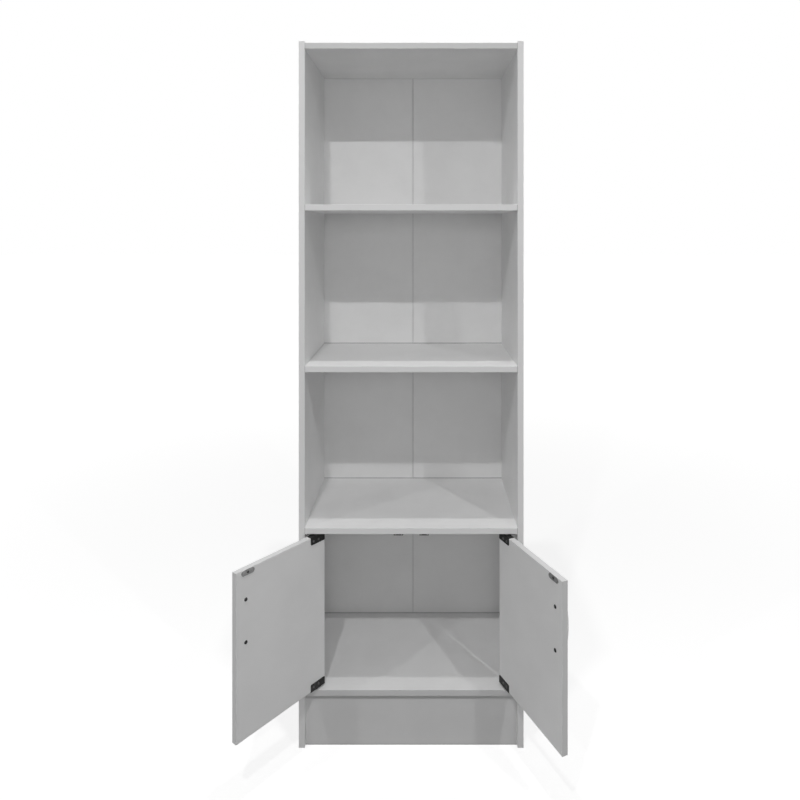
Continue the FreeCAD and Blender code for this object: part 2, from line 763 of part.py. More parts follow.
def make_door_panel(side, sign):
    name = f"{side}_door_panel"
    start = low_end(sign, "-hinge_inset", FREE_EDGE)
    body = block(name, DOOR_WIDTH, "door_board", DOOR_HEIGHT, start, "-door_board / 2")
    round_edges(body, "edge_round", lambda edge: not runs_along(edge, Y_AXIS))
    relief = "(pin_diameter + 2 * pin_relief)"
    relief_depth = "(pin_reach + pin_relief)"
    drill(body, "XY_Plane", DOOR_HEIGHT, False, (("0", "0"),), relief, relief_depth)
    drill(body, "XY_Plane", "0", True, (("0", "0"),), relief, relief_depth)
    inner = f"-{INNER_FACE}"
    leaf_screws = [spot for level in LEVELS for spot in leaf_screw_places(sign, level)]
    drill(
        body, "XZ_Plane", inner, True, leaf_screws,
        "(pan_screw_shank + 2 * screw_fit)", "(pan_screw_length - hinge_metal + pilot_overrun)",
    )
    drill(
        body, "XZ_Plane", inner, True, ((f"{sign} * {STRIKE_X}", STRIKE_Z),),
        "(flat_screw_shank + 2 * screw_fit)", "(flat_screw_length - strike_thickness + pilot_overrun)",
    )
    drill(
        body, "XZ_Plane", inner, True, handle_screw_places(sign),
        "(handle_screw_shank + 2 * screw_fit)", "2 * door_board",
    )
    place(body, *door_carrier(side, sign))
    node(body, name)


def make_hinge_leaf(side, sign, level):
    """An angle of sheet metal round the door's corner, with the bore for the pivot pin."""
    name = f"{side}_{level}_hinge_leaf"
    body = new_body(name)
    start = low_end(sign, LEAF_START, f"({LEAF_START} + leaf_length)")
    front = "(leaf_margin - door_board / 2)"
    back = f"({INNER_FACE} + hinge_metal)"
    sketch = sketch_on(body, "YZ_Plane", away=start)
    draw_outline(sketch, (
        (front, beyond_edge(level, "0")),
        (INNER_FACE, beyond_edge(level, "0")),
        (INNER_FACE, beyond_edge(level, "-leaf_height")),
        (back, beyond_edge(level, "-leaf_height")),
        (back, beyond_edge(level, "hinge_metal")),
        (front, beyond_edge(level, "hinge_metal")),
    ))
    pad(body, sketch, "leaf_length")
    bend_side = Y_AXIS
    bend_reach = body.Shape.BoundBox.YMax
    up = 1 if level == "upper" else -1
    edge_reach = body.Shape.BoundBox.ZMax if up > 0 else -body.Shape.BoundBox.ZMin
    free_reach = -body.Shape.BoundBox.ZMin if up > 0 else body.Shape.BoundBox.ZMax
    round_edges(
        body, "hinge_metal",
        lambda edge: touches(edge, bend_side, bend_reach) and touches(edge, V(0, 0, up), edge_reach),
    )
    round_edges(
        body, "leaf_corner",
        lambda edge: runs_along(edge, bend_side) and touches(edge, V(0, 0, -up), free_reach),
    )
    top = beyond_edge(level, "hinge_metal")
    bore = "(pin_diameter + 2 * pin_fit)"
    drill(body, "XY_Plane", top, up < 0, (("0", "0"),), bore, "2 * hinge_metal")
    drill(
        body, "XZ_Plane", f"-{back}", True, leaf_screw_places(sign, level),
        "(pan_screw_shank + 2 * screw_fit)", "2 * hinge_metal",
    )
    place(body, *door_carrier(side, sign))
    node(body, name)


def make_strike_plate(side, sign):
    """A flat plate with round ends on the inner face, at the top of the free edge."""
    name = f"{side}_strike_plate"
    middle = f"({sign} * {STRIKE_X})"
    straight = "(strike_length - strike_width)"
    back = f"-({INNER_FACE} + strike_thickness)"
    body = new_body(name)
    low_x = f"({middle} - {straight} / 2)"
    low_z = f"({STRIKE_Z} - strike_width / 2)"
    sketch = sketch_on(body, "XZ_Plane", low_x, low_z, back)
    draw_rectangle(sketch, straight, "strike_width")
    pad(body, sketch, "strike_thickness")
    for end in (1, -1):
        round_end = sketch_on(body, "XZ_Plane", away=back)
        draw_circles(round_end, ((f"({middle} + {end} * {straight} / 2)", STRIKE_Z),), "strike_width")
        pad(body, round_end, "strike_thickness")
    countersink(
        body, "XZ_Plane", back, True, ((middle, STRIKE_Z),),
        "(flat_screw_shank + 2 * screw_fit)", "(flat_screw_head + 2 * screw_fit)",
    )
    place(body, *door_carrier(side, sign))
    node(body, name)


def draw_handle(sketch):
    """Side view of a bow handle: two feet and a grip that rises between its shoulders."""
    outer = "((handle_pitch + handle_foot) / 2)"
    inner = "((handle_pitch - handle_foot) / 2)"
    high = "(handle_projection - handle_rise)"
    low = "(handle_projection - handle_rise - handle_grip)"
    start = {
        outer: (sheet.handle_pitch + sheet.handle_foot) / 2,
        inner: (sheet.handle_pitch - sheet.handle_foot) / 2,
        high: sheet.handle_projection - sheet.handle_rise,
        low: sheet.handle_projection - sheet.handle_rise - sheet.handle_grip,
    }

    def bow(half_span, height):
        """An arc from the upper shoulder over the middle of the grip to the lower one."""
        shoulder = V(-start[height], start[half_span], 0)
        middle = V(-start[height] - sheet.handle_rise, 0, 0)
        return Part.Arc(shoulder, middle, V(shoulder.x, -shoulder.y, 0))

    def leg(half_span, height):
        return Part.LineSegment(V(0, start[half_span], 0), V(-start[height], start[half_span], 0))

    def mirrored_leg(half_span, height):
        return Part.LineSegment(V(-start[height], -start[half_span], 0), V(0, -start[half_span], 0))

    def foot(end):
        return Part.LineSegment(V(0, end * start[outer], 0), V(0, end * start[inner], 0))

    outline = (
        leg(outer, high), bow(outer, high), mirrored_leg(outer, high), foot(-1),
        mirrored_leg(inner, low), bow(inner, low), leg(inner, low), foot(1),
    )
    for curve in outline:
        sketch.addGeometry(curve, False)
    joints = (
        (0, 2, 1, 1), (1, 2, 2, 1), (2, 2, 3, 1), (3, 2, 4, 2),
        (4, 1, 5, 2), (5, 1, 6, 2), (6, 1, 7, 2), (7, 1, 0, 1),
    )
    for joint in joints:
        sketch.addConstraint(Sketcher.Constraint("Coincident", *joint))
    legs = ((0, outer, high, 1), (2, outer, high, -1), (4, inner, low, -1), (6, inner, low, 1))
    for index, half_span, height, end in legs:
        on_door, at_shoulder = (1, 2) if end > 0 else (2, 1)
        tie_point(sketch, index, on_door, "0", f"{end} * {half_span}")
        tie_point(sketch, index, at_shoulder, f"-{height}", f"{end} * {half_span}")
    for index, half_span in ((1, outer), (5, inner)):
        radius = f"({half_span} ^ 2 + handle_rise ^ 2) / (2 * handle_rise)"
        drawn = sketch.Geometry[index].Radius
        constraint = sketch.addConstraint(Sketcher.Constraint("Radius", index, drawn))
        bind(sketch, f"Constraints[{constraint}]", radius)


def make_handle(side, sign):
    """A cast bow handle on the outer face, screwed on through the door."""
    name = f"{side}_handle"
    body = new_body(name)
    start = f"({sign} * {HANDLE_X} - handle_width / 2)"
    sketch = sketch_on(body, "YZ_Plane", "-door_board / 2", HANDLE_MIDDLE_Z, start)
    draw_handle(sketch)
    pad(body, sketch, "handle_width")
    outward = V(0, -1, 0)
    along = X_AXIS
    on_door = -body.Shape.BoundBox.YMax
    middle = body.Shape.BoundBox.Center.z
    left_end = body.Shape.BoundBox.XMin
    right_end = body.Shape.BoundBox.XMax

    def shoulder(edge):
        return runs_along(edge, along) and not touches(edge, outward, on_door)

    def beyond_screw(edge):
        return abs(edge.Vertexes[0].Point.z - middle) > sheet.handle_pitch / 2

    def long_edge(edge):
        flank = touches(edge, along, left_end) or touches(edge, along, right_end)
        return flank and not touches(edge, outward, on_door)

    round_edges(body, "handle_shoulder", lambda edge: shoulder(edge) and beyond_screw(edge))
    round_edges(body, "handle_throat", lambda edge: shoulder(edge) and not beyond_screw(edge))
    round_edges(body, "handle_soften", long_edge)
    drill(
        body, "XZ_Plane", "door_board / 2", True, handle_screw_places(sign),
        "(handle_screw_shank + 2 * screw_fit)", "(handle_screw_bite + pilot_overrun)",
    )
    place(body, *door_carrier(side, sign))
    node(body, name)


def make_door_screws(side, sign, flat_screw, pan_screw, handle_screw):
    """Leaf, strike and handle screws, all driven from the inner face."""
    inwards = Y_AXIS
    carrier = door_carrier(side, sign)
    leaf_spots = [spot for level in LEVELS for spot in leaf_screw_places(sign, level)]
    leaf_places = [(x, f"({INNER_FACE} + hinge_metal)", z) for x, z in leaf_spots]
    strike_place = (f"({sign} * {STRIKE_X})", f"({INNER_FACE} + strike_thickness)", STRIKE_Z)
    handle_places = [(x, INNER_FACE, z) for x, z in handle_screw_places(sign)]
    scatter(f"{side}_leaf_screws", pan_screw, leaf_places, inwards, carrier)
    scatter(f"{side}_strike_screw", flat_screw, [strike_place], inwards, carrier)
    scatter(f"{side}_handle_screws", handle_screw, handle_places, inwards, carrier)


# The whole bookcase

def build():
    fill_sheet()
    flat_screw = flat_screw_pattern()
    pan_screw = pan_head_pattern(
        "pan_screw_pattern", "pan_screw_head", "pan_screw_head_height",
        "pan_screw_shank", "pan_screw_length",
    )
    handle_screw = pan_head_pattern(
        "handle_screw_pattern", "handle_screw_head", "handle_screw_head_height",
        "handle_screw_shank", "(door_board + handle_screw_bite)",
    )
    for side, sign in SIDES.items():
        make_side_panel(side, sign)
        make_back_leaf(side, sign)
    make_plinth()
    labels = ("cabinet_floor", "cabinet_top_shelf", "middle_shelf", "upper_shelf", "top_panel")
    shelves = {label: make_shelf(label, base) for label, base in zip(labels, shelf_bases())}
    drill_hinge_seats(shelves["cabinet_floor"], "lower")
    drill_hinge_seats(shelves["cabinet_top_shelf"], "upper")
    drill_catch_seats(shelves["cabinet_top_shelf"])
    make_case_fasteners()
    for side, sign in SIDES.items():
        for level in LEVELS:
            make_hinge_plate(side, sign, level)
            make_hinge_pin(side, sign, level)
            make_hinge_washer(side, sign, level)
        make_catch(side, sign)
    places, facing = plate_screw_places()
    scatter("hinge_plate_screws", flat_screw, places, facing)
    scatter("catch_screws", pan_screw, catch_screw_places(), V(0, 0, -1))
    for side, sign in SIDES.items():
        make_door_panel(side, sign)
        for level in LEVELS:
            make_hinge_leaf(side, sign, level)
        make_strike_plate(side, sign)
        make_handle(side, sign)
        make_door_screws(side, sign, flat_screw, pan_screw, handle_screw)
    doc.recompute()


def check():
    """Stops on any object that failed and on any sub-part without a sound shape."""
    for item in doc.Objects:
        if "Invalid" in item.State or "Error" in item.State:
            raise RuntimeError(f"{item.Name} is {item.State}")
    for item in nodes:
        if item.Shape.isNull() or not item.Shape.isValid():
            raise RuntimeError(f"{item.Label} has no sound shape")


def write():
    os.makedirs("parts", exist_ok=True)
    for item in nodes:
        item.Shape.exportStep(f"parts/{item.Label}.step")


build()
check()
write()
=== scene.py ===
"""Dresses the white bookcase: foil-covered boards, hardware, fasteners and a plain stage.

Metres. +Z is up and the front faces -Y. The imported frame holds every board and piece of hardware
at its real size. This file gives each one its finish, puts real heads on the plain fasteners, and
adds the paper tape behind the joint of the back.
"""
import json
import math

import bmesh
import bpy
from bpy.props import FloatProperty, FloatVectorProperty, IntProperty, PointerProperty
from bpy.types import Operator, Panel, PropertyGroup
from mathutils import Matrix, Vector


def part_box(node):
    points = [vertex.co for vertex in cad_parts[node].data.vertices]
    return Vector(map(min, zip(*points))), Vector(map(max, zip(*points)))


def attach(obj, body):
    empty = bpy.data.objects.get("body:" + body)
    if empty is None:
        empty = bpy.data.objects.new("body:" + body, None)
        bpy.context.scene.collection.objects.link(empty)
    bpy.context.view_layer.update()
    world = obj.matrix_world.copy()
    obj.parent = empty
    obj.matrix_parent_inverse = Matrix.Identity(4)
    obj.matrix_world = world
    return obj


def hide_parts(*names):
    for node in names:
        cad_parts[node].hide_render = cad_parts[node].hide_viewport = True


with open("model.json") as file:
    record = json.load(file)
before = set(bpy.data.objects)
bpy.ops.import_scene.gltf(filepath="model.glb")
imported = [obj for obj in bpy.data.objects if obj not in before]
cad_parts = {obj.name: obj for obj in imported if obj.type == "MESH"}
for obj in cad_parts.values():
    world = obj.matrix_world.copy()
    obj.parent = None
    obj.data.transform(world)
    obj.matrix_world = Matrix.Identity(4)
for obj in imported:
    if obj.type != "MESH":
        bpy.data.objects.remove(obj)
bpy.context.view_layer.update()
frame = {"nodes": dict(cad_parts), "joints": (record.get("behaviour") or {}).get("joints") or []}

bl_info = {
    "name": "White bookcase",
    "version": (1, 0, 0),
    "blender": (4, 5, 0),
    "location": "View3D > Sidebar > Bookcase",
    "description": "Finishes, fasteners and stage of a bookcase with cabinet doors",
    "category": "Object",
}

IMAGE_PIXELS = 800
SIDES = ("left", "right")
LEVELS = ("upper", "lower")
SHELVES = ("cabinet_floor", "cabinet_top_shelf", "middle_shelf", "upper_shelf", "top_panel")
OPEN_SHELVES = ("cabinet_top_shelf", "middle_shelf", "upper_shelf")
DULL_BANDS = ("cabinet_floor", "top_panel")
MERGE_DISTANCE = 1e-6


# Settings that a user would change

def colour(name, description, grey):
    """A colour property whose default is a neutral grey."""
    return FloatVectorProperty(
        name=name, description=description, subtype="COLOR", size=3, min=0, max=1, default=(grey,) * 3,
    )


def length(name, description, default):
    """A length property in metres."""
    return FloatProperty(name=name, description=description, unit="LENGTH", default=default, precision=5)


def share(name, description, default):
    """A property between zero and one."""
    return FloatProperty(name=name, description=description, subtype="FACTOR", min=0, max=1, default=default)


def power(name, description, default):
    """A lamp's power in watts."""
    return FloatProperty(name=name, description=description, unit="POWER", default=default)


def pixels(name, description, default):
    """A measure in pixels of the picture."""
    return FloatProperty(name=name, description=description, subtype="PIXEL", default=default)


def place(name, description, default):
    """A point in the bookcase's frame."""
    return FloatVectorProperty(
        name=name, description=description, subtype="TRANSLATION", unit="LENGTH", size=3, default=default,
    )


class BoardFinish(PropertyGroup):
    """Foil, edge band and raw core of the boards."""
    foil: colour("Foil", "White melamine foil on the faces of the boards", 0.86)
    # Painted light: the same foil as the other boards, made whiter on the doors and open shelves to stand in
    # for the stronger light that reaches them
    painted_light_foil: colour("Clean foil", "Whiter foil of the doors and the open shelves", 0.895)
    # Painted shade: the same foil as the other boards, made darker on the plinth to stand in for the weaker
    # light low down
    plinth: colour("Plinth", "Scuffed foil of the plinth", 0.73)
    band: colour("Edge band", "Plastic band on the front edges", 0.835)
    dull_band: colour("Dull band", "Greyer band on the top panel and the cabinet floor", 0.67)
    door_band: colour("Door band", "Band on the edges of the doors", 0.76)
    worn: colour("Worn edge", "Rubbed foil along the edges, and dust", 0.60)
    # Besides grime in the joints, this colour also paints shade under the plinth's overhang, along its foot
    # and above each shelf on the back
    seam: colour("Seam", "Dirt in the joints between the boards", 0.22)
    core: colour("Core", "Particle board where no band covers it", 0.33)
    lacquer: colour("Lacquer", "White lacquer on the front of the back leaves", 0.86)
    raw_back: colour("Raw back", "Unlacquered rear of the back leaves", 0.24)
    clouds: share("Clouds", "How much darker the clouds in the foil are", 0.035)
    roughness: share("Roughness", "Roughness of the foil", 0.45)
    wear_width: length("Wear width", "How far the rubbing reaches from an edge", 0.0016)
    seam_width: length("Seam width", "Dirty line at the ends of a shelf's front edge", 0.0005)
    # Dust and painted shade on the back in the corner above each shelf
    crevice: length("Crevice", "Dirty line on the back above each shelf", 0.004)
    cloud_size: length("Cloud size", "Size of the clouds in the foil", 0.11)
    peel_size: length("Peel size", "Size of the dimples in the foil", 0.0016)
    peel_depth: length("Peel depth", "Depth of the dimples in the foil", 0.00003)


class HardwareFinish(PropertyGroup):
    """Colours of the metal and plastic pieces."""
    hinge: colour("Hinge", "Black enamel of the hinge leaves and plates", 0.012)
    steel: colour("Steel", "Zinc-plated screws, pins, poles and nails", 0.42)
    strike: colour("Strike", "Dull strike plates", 0.30)
    nylon: colour("Nylon", "Washers of the hinges", 0.62)
    catch: colour("Catch", "Moulded catch housings", 0.11)
    ferrite: colour("Ferrite", "Magnets of the catches", 0.05)
    handle: colour("Handle", "Satin metal of the handles", 0.55)
    dark_screw: colour("Dark screw", "Blackened screws on the doors", 0.03)
    leaf_screw: colour("Leaf screw", "Worn black screws of the hinge leaves", 0.11)
    cap: colour("Cap", "Plastic caps on the panel screws", 0.72)
    tape: colour("Tape", "Pale paper tape behind the joint of the back", 0.60)


class FastenerSizes(PropertyGroup):
    """What the frame's plain fasteners don't say."""
    recess_length: share("Recess length", "Cross recess across the head, of the head's diameter", 0.58)
    recess_width: share("Recess width", "Arm of the cross recess, of the head's diameter", 0.15)
    recess_depth: length("Recess depth", "Depth of the cross recess", 0.0012)
    crown: share("Crown", "Flat crown of a pan head, of the head's diameter", 0.82)
    rim: share("Rim", "Rim below the dome of a head, of the head's height", 0.5)
    seed: IntProperty(name="Seed", description="Turns the recesses about their axes", default=7, min=0)
    tape_width: length("Tape width", "Paper tape behind the joint of the back", 0.04)
    tape_thickness: length("Tape thickness", "Paper tape behind the joint of the back", 0.0003)


class StageSetup(PropertyGroup):
    """Camera, lamps and floor."""
    camera: place("Camera", "Where the picture was taken from", (0.027, -1.796, 1.292))
    focal_pixels: pixels("Focal length", "Focal length in pixels of the picture", 655)
    sight_x: pixels("Sight X", "Pixel that the level sight line meets, from the left", 422)
    sight_y: pixels("Sight Y", "Pixel that the level sight line meets, from the top", 229)
    main_lamp: place("Main lamp", "Ceiling lamp in front, left of the middle", (-0.36, -1.85, 2.71))
    left_lamp: place("Left lamp", "Ceiling lamp in front, far to the left", (-2.37, -1.85, 2.71))
    right_lamp: place("Right lamp", "Ceiling lamp in front, to the right", (1.465, -1.85, 2.71))
    near_lamp: place("Near lamp", "Ceiling lamp close in front", (0.0, -0.504, 3.33))
    front_lamp: place("Front lamp", "Soft lamp behind the camera", (0.03, -2.6, 1.6))
    main_power: power("Main power", "Main lamp", 17.1)
    left_power: power("Left power", "Left lamp", 15.5)
    right_power: power("Right power", "Right lamp", 16.0)
    near_power: power("Near power", "Near lamp", 14.2)
    front_power: power("Front power", "Front lamp", 20.4)
    lamp_size: length("Lamp size", "Width of a ceiling lamp", 0.07)
    front_size: length("Front size", "Width of the front lamp", 0.6)
    fill: share("Fill", "Even light from the front", 0.20)
    rear_fill: share("Rear fill", "Even light from behind, for the sides and the back", 0.75)
    floor: colour("Floor", "Pale floor as it throws light back", 0.32)
    floor_seen: colour("Floor seen", "Pale floor as the camera sees it", 0.45)
    near_glow: share("Near glow", "Whiteness that the camera sees in the floor near the bookcase", 0.71)
    far_glow: share("Far glow", "Whiteness that the camera sees in the floor far away", 0.86)
    near_reach: length("Near reach", "Where the near glow starts to change", 0.6)
    far_reach: length("Far reach", "Where the far glow begins", 4.0)
    floor_size: length("Floor size", "Width of the floor", 60.0)


class BookcaseSettings(PropertyGroup):
    """All the settings of the bookcase."""
    board: PointerProperty(type=BoardFinish)
    hardware: PointerProperty(type=HardwareFinish)
    fastener: PointerProperty(type=FastenerSizes)
    stage: PointerProperty(type=StageSetup)


def settings():
    """The bookcase's settings in this scene."""
    return bpy.context.scene.bookcase


def add_object(name, data):
    """Puts data in the scene as an object."""
    item = bpy.data.objects.new(name, data)
    bpy.context.scene.collection.objects.link(item)
    return item


# Node trees

class Graph:
    """Adds nodes to one tree and wires them."""

    def __init__(self, tree):
        self.tree = tree

    def add(self, kind, inputs=None, **traits):
        """A new node with its traits set and its inputs fed by name."""
        node = self.tree.nodes.new(kind)
        for name, value in traits.items():
            setattr(node, name, value)
        for name, value in (inputs or {}).items():
            self.feed(node.inputs[name], value)
        return node

    def feed(self, socket, value):
        """Links a socket to another one, or sets its value."""
        if isinstance(value, bpy.types.NodeSocket):
            self.tree.links.new(value, socket)
        else:
            socket.default_value = value

    def work_out(self, kind, operation, values):
        """The first result of an operation on values in order."""
        node = self.add(kind, operation=operation)
        for socket, value in zip(node.inputs, values):
            self.feed(socket, value)
        return node.outputs[0]

    def math(self, operation, *values):
        """An operation on numbers."""
        return self.work_out("ShaderNodeMath", operation, values)

    def vector(self, operation, *values):
        """An operation on vectors."""
        return self.work_out("ShaderNodeVectorMath", operation, values)

    def ramp(self, value, low, high, to_low=0.0, to_high=1.0):
        """Carries a value smoothly from one range to another."""
        node = self.add("ShaderNodeMapRange", interpolation_type="SMOOTHSTEP")
        for name, number in zip(
            ("Value", "From Min", "From Max", "To Min", "To Max"), (value, low, high, to_low, to_high),
        ):
            self.feed(node.inputs[name], number)
        return node.outputs["Result"]

    def split(self, vector):
        """The X, Y and Z of a vector."""
        return self.add("ShaderNodeSeparateXYZ", {"Vector": vector}).outputs

    def noise(self, position, scale, detail=2.0, roughness=0.5):
        """Smooth noise between zero and one."""
        node = self.add("ShaderNodeTexNoise", {"Vector": position, "Scale": scale, "Detail": detail})
        node.inputs["Roughness"].default_value = roughness
        return node.outputs["Fac"]

    def mix(self, factor, first, second):
        """Mixes two colours."""
        node = self.add("ShaderNodeMix", data_type="RGBA")
        wires = {socket.identifier: socket for socket in node.inputs}
        self.feed(wires["Factor_Float"], factor)
        self.feed(wires["A_Color"], first)
        self.feed(wires["B_Color"], second)
        return [socket for socket in node.outputs if socket.identifier == "Result_Color"][0]


def rgba(tone):
    """A tone as an opaque colour."""
    return (*tone, 1.0)


def darker(tone, by):
    """A tone with a share of it taken off."""
    return [channel * (1 - by) for channel in tone]


def group_tree(name, inputs, outputs):
    """An empty shader group with named sockets, and its two ends."""
    tree = bpy.data.node_groups.new(name, "ShaderNodeTree")
    for label, kind in inputs.items():
        tree.interface.new_socket(label, in_out="INPUT", socket_type=kind)
    for label, kind in outputs.items():
        tree.interface.new_socket(label, in_out="OUTPUT", socket_type=kind)
    graph = Graph(tree)
    return graph, graph.add("NodeGroupInput").outputs, graph.add("NodeGroupOutput").inputs


FLOAT = "NodeSocketFloat"
VECTOR = "NodeSocketVector"

# Patterns of the groups. A noise is its scale per metre, detail and roughness, without the scale where a
# setting gives it. A range is where a mask begins and where it is full. A fade is the two depths between
# which a mask ends, and for a seam a multiple of its width.
RUB_NOISE = (55.0, 4.0, 0.65)
RUB_RANGE = (0.52, 0.72)
FRONT_FADE = (0.0004, 0.0008)
REAR_FADE = (0.0002, 0.0004)
SEAM_FADE = 1.3
CLOUD_NOISE = (4.0, 0.6)
CLOUD_RANGE = (0.3, 0.7)
PEEL_DETAIL = 1.0
SMEARS_TO_CLOUDS = 0.6
SMEAR_NOISE = (6.0, 0.7)
SMEAR_RANGE = (0.45, 0.8)
LEVEL_RANGE = (0.6, 0.95)
SPECK_NOISE = (900.0, 3.0, 0.7)
SPECK_RANGE = (0.58, 0.75)
DRIFT_NOISE = (14.0, 5.0, 0.6)
GRAIN_NOISE = (3.0, 0.6)
BLOTCHES_TO_GRAIN = 0.08
BLOTCH_DETAIL = 4.0
BLOTCH_RANGE = (0.35, 0.7)


def board_edges_group():
    """Masks of a square-cut board: rubbed edges, front and rear edge faces, ends and the whole rim."""
    graph, given, out = group_tree(
        "board_edges",
        {"Position": VECTOR, "Low": VECTOR, "High": VECTOR, "Wear Width": FLOAT, "Seam Width": FLOAT},
        {"Wear": FLOAT, "Front": FLOAT, "Rear": FLOAT, "Ends": FLOAT, "Rim": FLOAT},
    )
    from_low = graph.vector("SUBTRACT", given["Position"], given["Low"])
    to_high = graph.vector("SUBTRACT", given["High"], given["Position"])
    near = graph.split(graph.vector("MINIMUM", from_low, to_high))
    lower = graph.math("MINIMUM", near["X"], near["Y"])
    upper = graph.math("MAXIMUM", near["X"], near["Y"])
    distance = graph.math("MAXIMUM", lower, graph.math("MINIMUM", upper, near["Z"]))
    edge = graph.ramp(distance, 0.0, given["Wear Width"], 1.0, 0.0)
    patches = graph.ramp(graph.noise(given["Position"], *RUB_NOISE), *RUB_RANGE)
    graph.feed(out["Wear"], graph.math("MULTIPLY", edge, patches))
    graph.feed(out["Front"], graph.ramp(graph.split(from_low)["Y"], *FRONT_FADE, 1.0, 0.0))
    graph.feed(out["Rear"], graph.ramp(graph.split(to_high)["Y"], *REAR_FADE, 1.0, 0.0))
    past_seam = graph.math("MULTIPLY", given["Seam Width"], SEAM_FADE)
    graph.feed(out["Ends"], graph.ramp(near["X"], given["Seam Width"], past_seam, 1.0, 0.0))
    from_rim = graph.math("MINIMUM", near["X"], near["Z"])
    graph.feed(out["Rim"], graph.ramp(from_rim, given["Seam Width"], past_seam, 1.0, 0.0))
    return graph.tree


def foil_group():
    """Clouds, dimples and smears of a printed or lacquered sheet."""
    graph, given, out = group_tree(
        "foil_surface",
        {"Position": VECTOR, "Cloud Size": FLOAT, "Peel Size": FLOAT},
        {"Clouds": FLOAT, "Peel": FLOAT, "Smears": FLOAT},
    )
    cloud_scale = graph.math("DIVIDE", 1.0, given["Cloud Size"])
    peel_scale = graph.math("DIVIDE", 1.0, given["Peel Size"])
    clouds = graph.noise(given["Position"], cloud_scale, *CLOUD_NOISE)
    graph.feed(out["Clouds"], graph.ramp(clouds, *CLOUD_RANGE))
    graph.feed(out["Peel"], graph.noise(given["Position"], peel_scale, PEEL_DETAIL))
    smear_scale = graph.math("MULTIPLY", cloud_scale, SMEARS_TO_CLOUDS)
    smears = graph.noise(given["Position"], smear_scale, *SMEAR_NOISE)
    graph.feed(out["Smears"], graph.ramp(smears, *SMEAR_RANGE))
    return graph.tree


def dust_group():
    """Fine dust that settles on faces that look up."""
    graph, given, out = group_tree(
        "settled_dust", {"Position": VECTOR, "Normal": VECTOR}, {"Dust": FLOAT},
    )
    level = graph.ramp(graph.split(given["Normal"])["Z"], *LEVEL_RANGE)
    specks = graph.ramp(graph.noise(given["Position"], *SPECK_NOISE), *SPECK_RANGE)
    drifts = graph.noise(given["Position"], *DRIFT_NOISE)
    graph.feed(out["Dust"], graph.math("MULTIPLY", level, graph.math("MULTIPLY", specks, drifts)))
    return graph.tree


def metal_grain_group():
    """Fine grain and blotches of plated, painted or moulded pieces."""
    graph, given, out = group_tree(
        "metal_grain", {"Position": VECTOR, "Grain Size": FLOAT}, {"Grain": FLOAT, "Blotches": FLOAT},
    )
    scale = graph.math("DIVIDE", 1.0, given["Grain Size"])
    graph.feed(out["Grain"], graph.noise(given["Position"], scale, *GRAIN_NOISE))
    blotch_scale = graph.math("MULTIPLY", scale, BLOTCHES_TO_GRAIN)
    blotches = graph.noise(given["Position"], blotch_scale, BLOTCH_DETAIL)
    graph.feed(out["Blotches"], graph.ramp(blotches, *BLOTCH_RANGE))
    return graph.tree


GROUP_MAKERS = {
    "board_edges": board_edges_group,
    "foil_surface": foil_group,
    "settled_dust": dust_group,
    "metal_grain": metal_grain_group,
}


def new_material(name):
    """A material with a Principled shader, its graph and its object coordinates."""
    material = bpy.data.materials.new(name)
    material.use_nodes = True
    graph = Graph(material.node_tree)
    shader = material.node_tree.nodes["Principled BSDF"]
    coordinates = graph.add("ShaderNodeTexCoord").outputs
    return material, graph, shader, coordinates


def use_group(graph, name, inputs):
    """Places a shared group, which is built where it is first used."""
    tree = bpy.data.node_groups.get(name) or GROUP_MAKERS[name]()
    return graph.add("ShaderNodeGroup", inputs, node_tree=tree).outputs


def mottle(graph, mask, tone, by):
    """A tone that a mask darkens by a share."""
    return graph.mix(mask, rgba(tone), rgba(darker(tone, by)))


def bump(graph, shader, height, depth):
    """Turns the shader's normal as a height times a depth would."""
    node = graph.add("ShaderNodeBump", {"Height": height, "Distance": depth, "Strength": 1.0})
    graph.feed(shader.inputs["Normal"], node.outputs["Normal"])


def dress(node, material):
    """Gives a node of the frame its finish."""
    piece = frame["nodes"][node]
    piece.data.materials.clear()
    piece.data.materials.append(material)


# Places in the frame

def door_turn(side):
    """Turn of a door from shut to where it stands, its pivot, and the turn as an angle about +Z."""
    joint = [item for item in frame["joints"] if item["child"] == f"{side}_door"][0]
    angle = math.radians(-joint["range_deg"][0]) * joint["axis"][2]
    return Matrix.Rotation(angle, 3, "Z"), Vector(joint["pos_m"]), angle


def door_inwards(side):
    """The way that a door's inner face looks."""
    return door_turn(side)[0] @ Vector((0, 1, 0))


def solids_of(node):
    """Vertex places of each separate solid in a node of the frame."""
    mesh = bmesh.new()
    mesh.from_mesh(frame["nodes"][node].data)
    bmesh.ops.remove_doubles(mesh, verts=mesh.verts, dist=MERGE_DISTANCE)
    seen = set()
    solids = []
    for start in mesh.verts:
        if start in seen:
            continue
        seen.add(start)
        waiting = [start]
        solid = []
        while waiting:
            vertex = waiting.pop()
            solid.append(vertex.co.copy())
            for edge in vertex.link_edges:
                other = edge.other_vert(vertex)
                if other not in seen:
                    seen.add(other)
                    waiting.append(other)
        solids.append(solid)
    mesh.free()
    return solids


def corners_of(points):
    """Lowest and highest corner of the box round some points."""
    low = Vector([min(point[axis] for point in points) for axis in range(3)])
    high = Vector([max(point[axis] for point in points) for axis in range(3)])
    return low, high


def middle_of(points):
    """Middle of the box round some points."""
    low, high = corners_of(points)
    return (low + high) / 2


# Finishes of the boards

SMEAR_ROUGHNESS = 0.14
RUB_SHARE = 0.5
DUST_SHARE = 0.12
# Painted shadow of the cabinet floor's overhang on the plinth: it begins and is full at these depths below
# the plinth's top
OVERHANG_SHADOW_DEPTHS = (0.0135, 0.0115)
OVERHANG_SHADOW_SHARE = 0.3
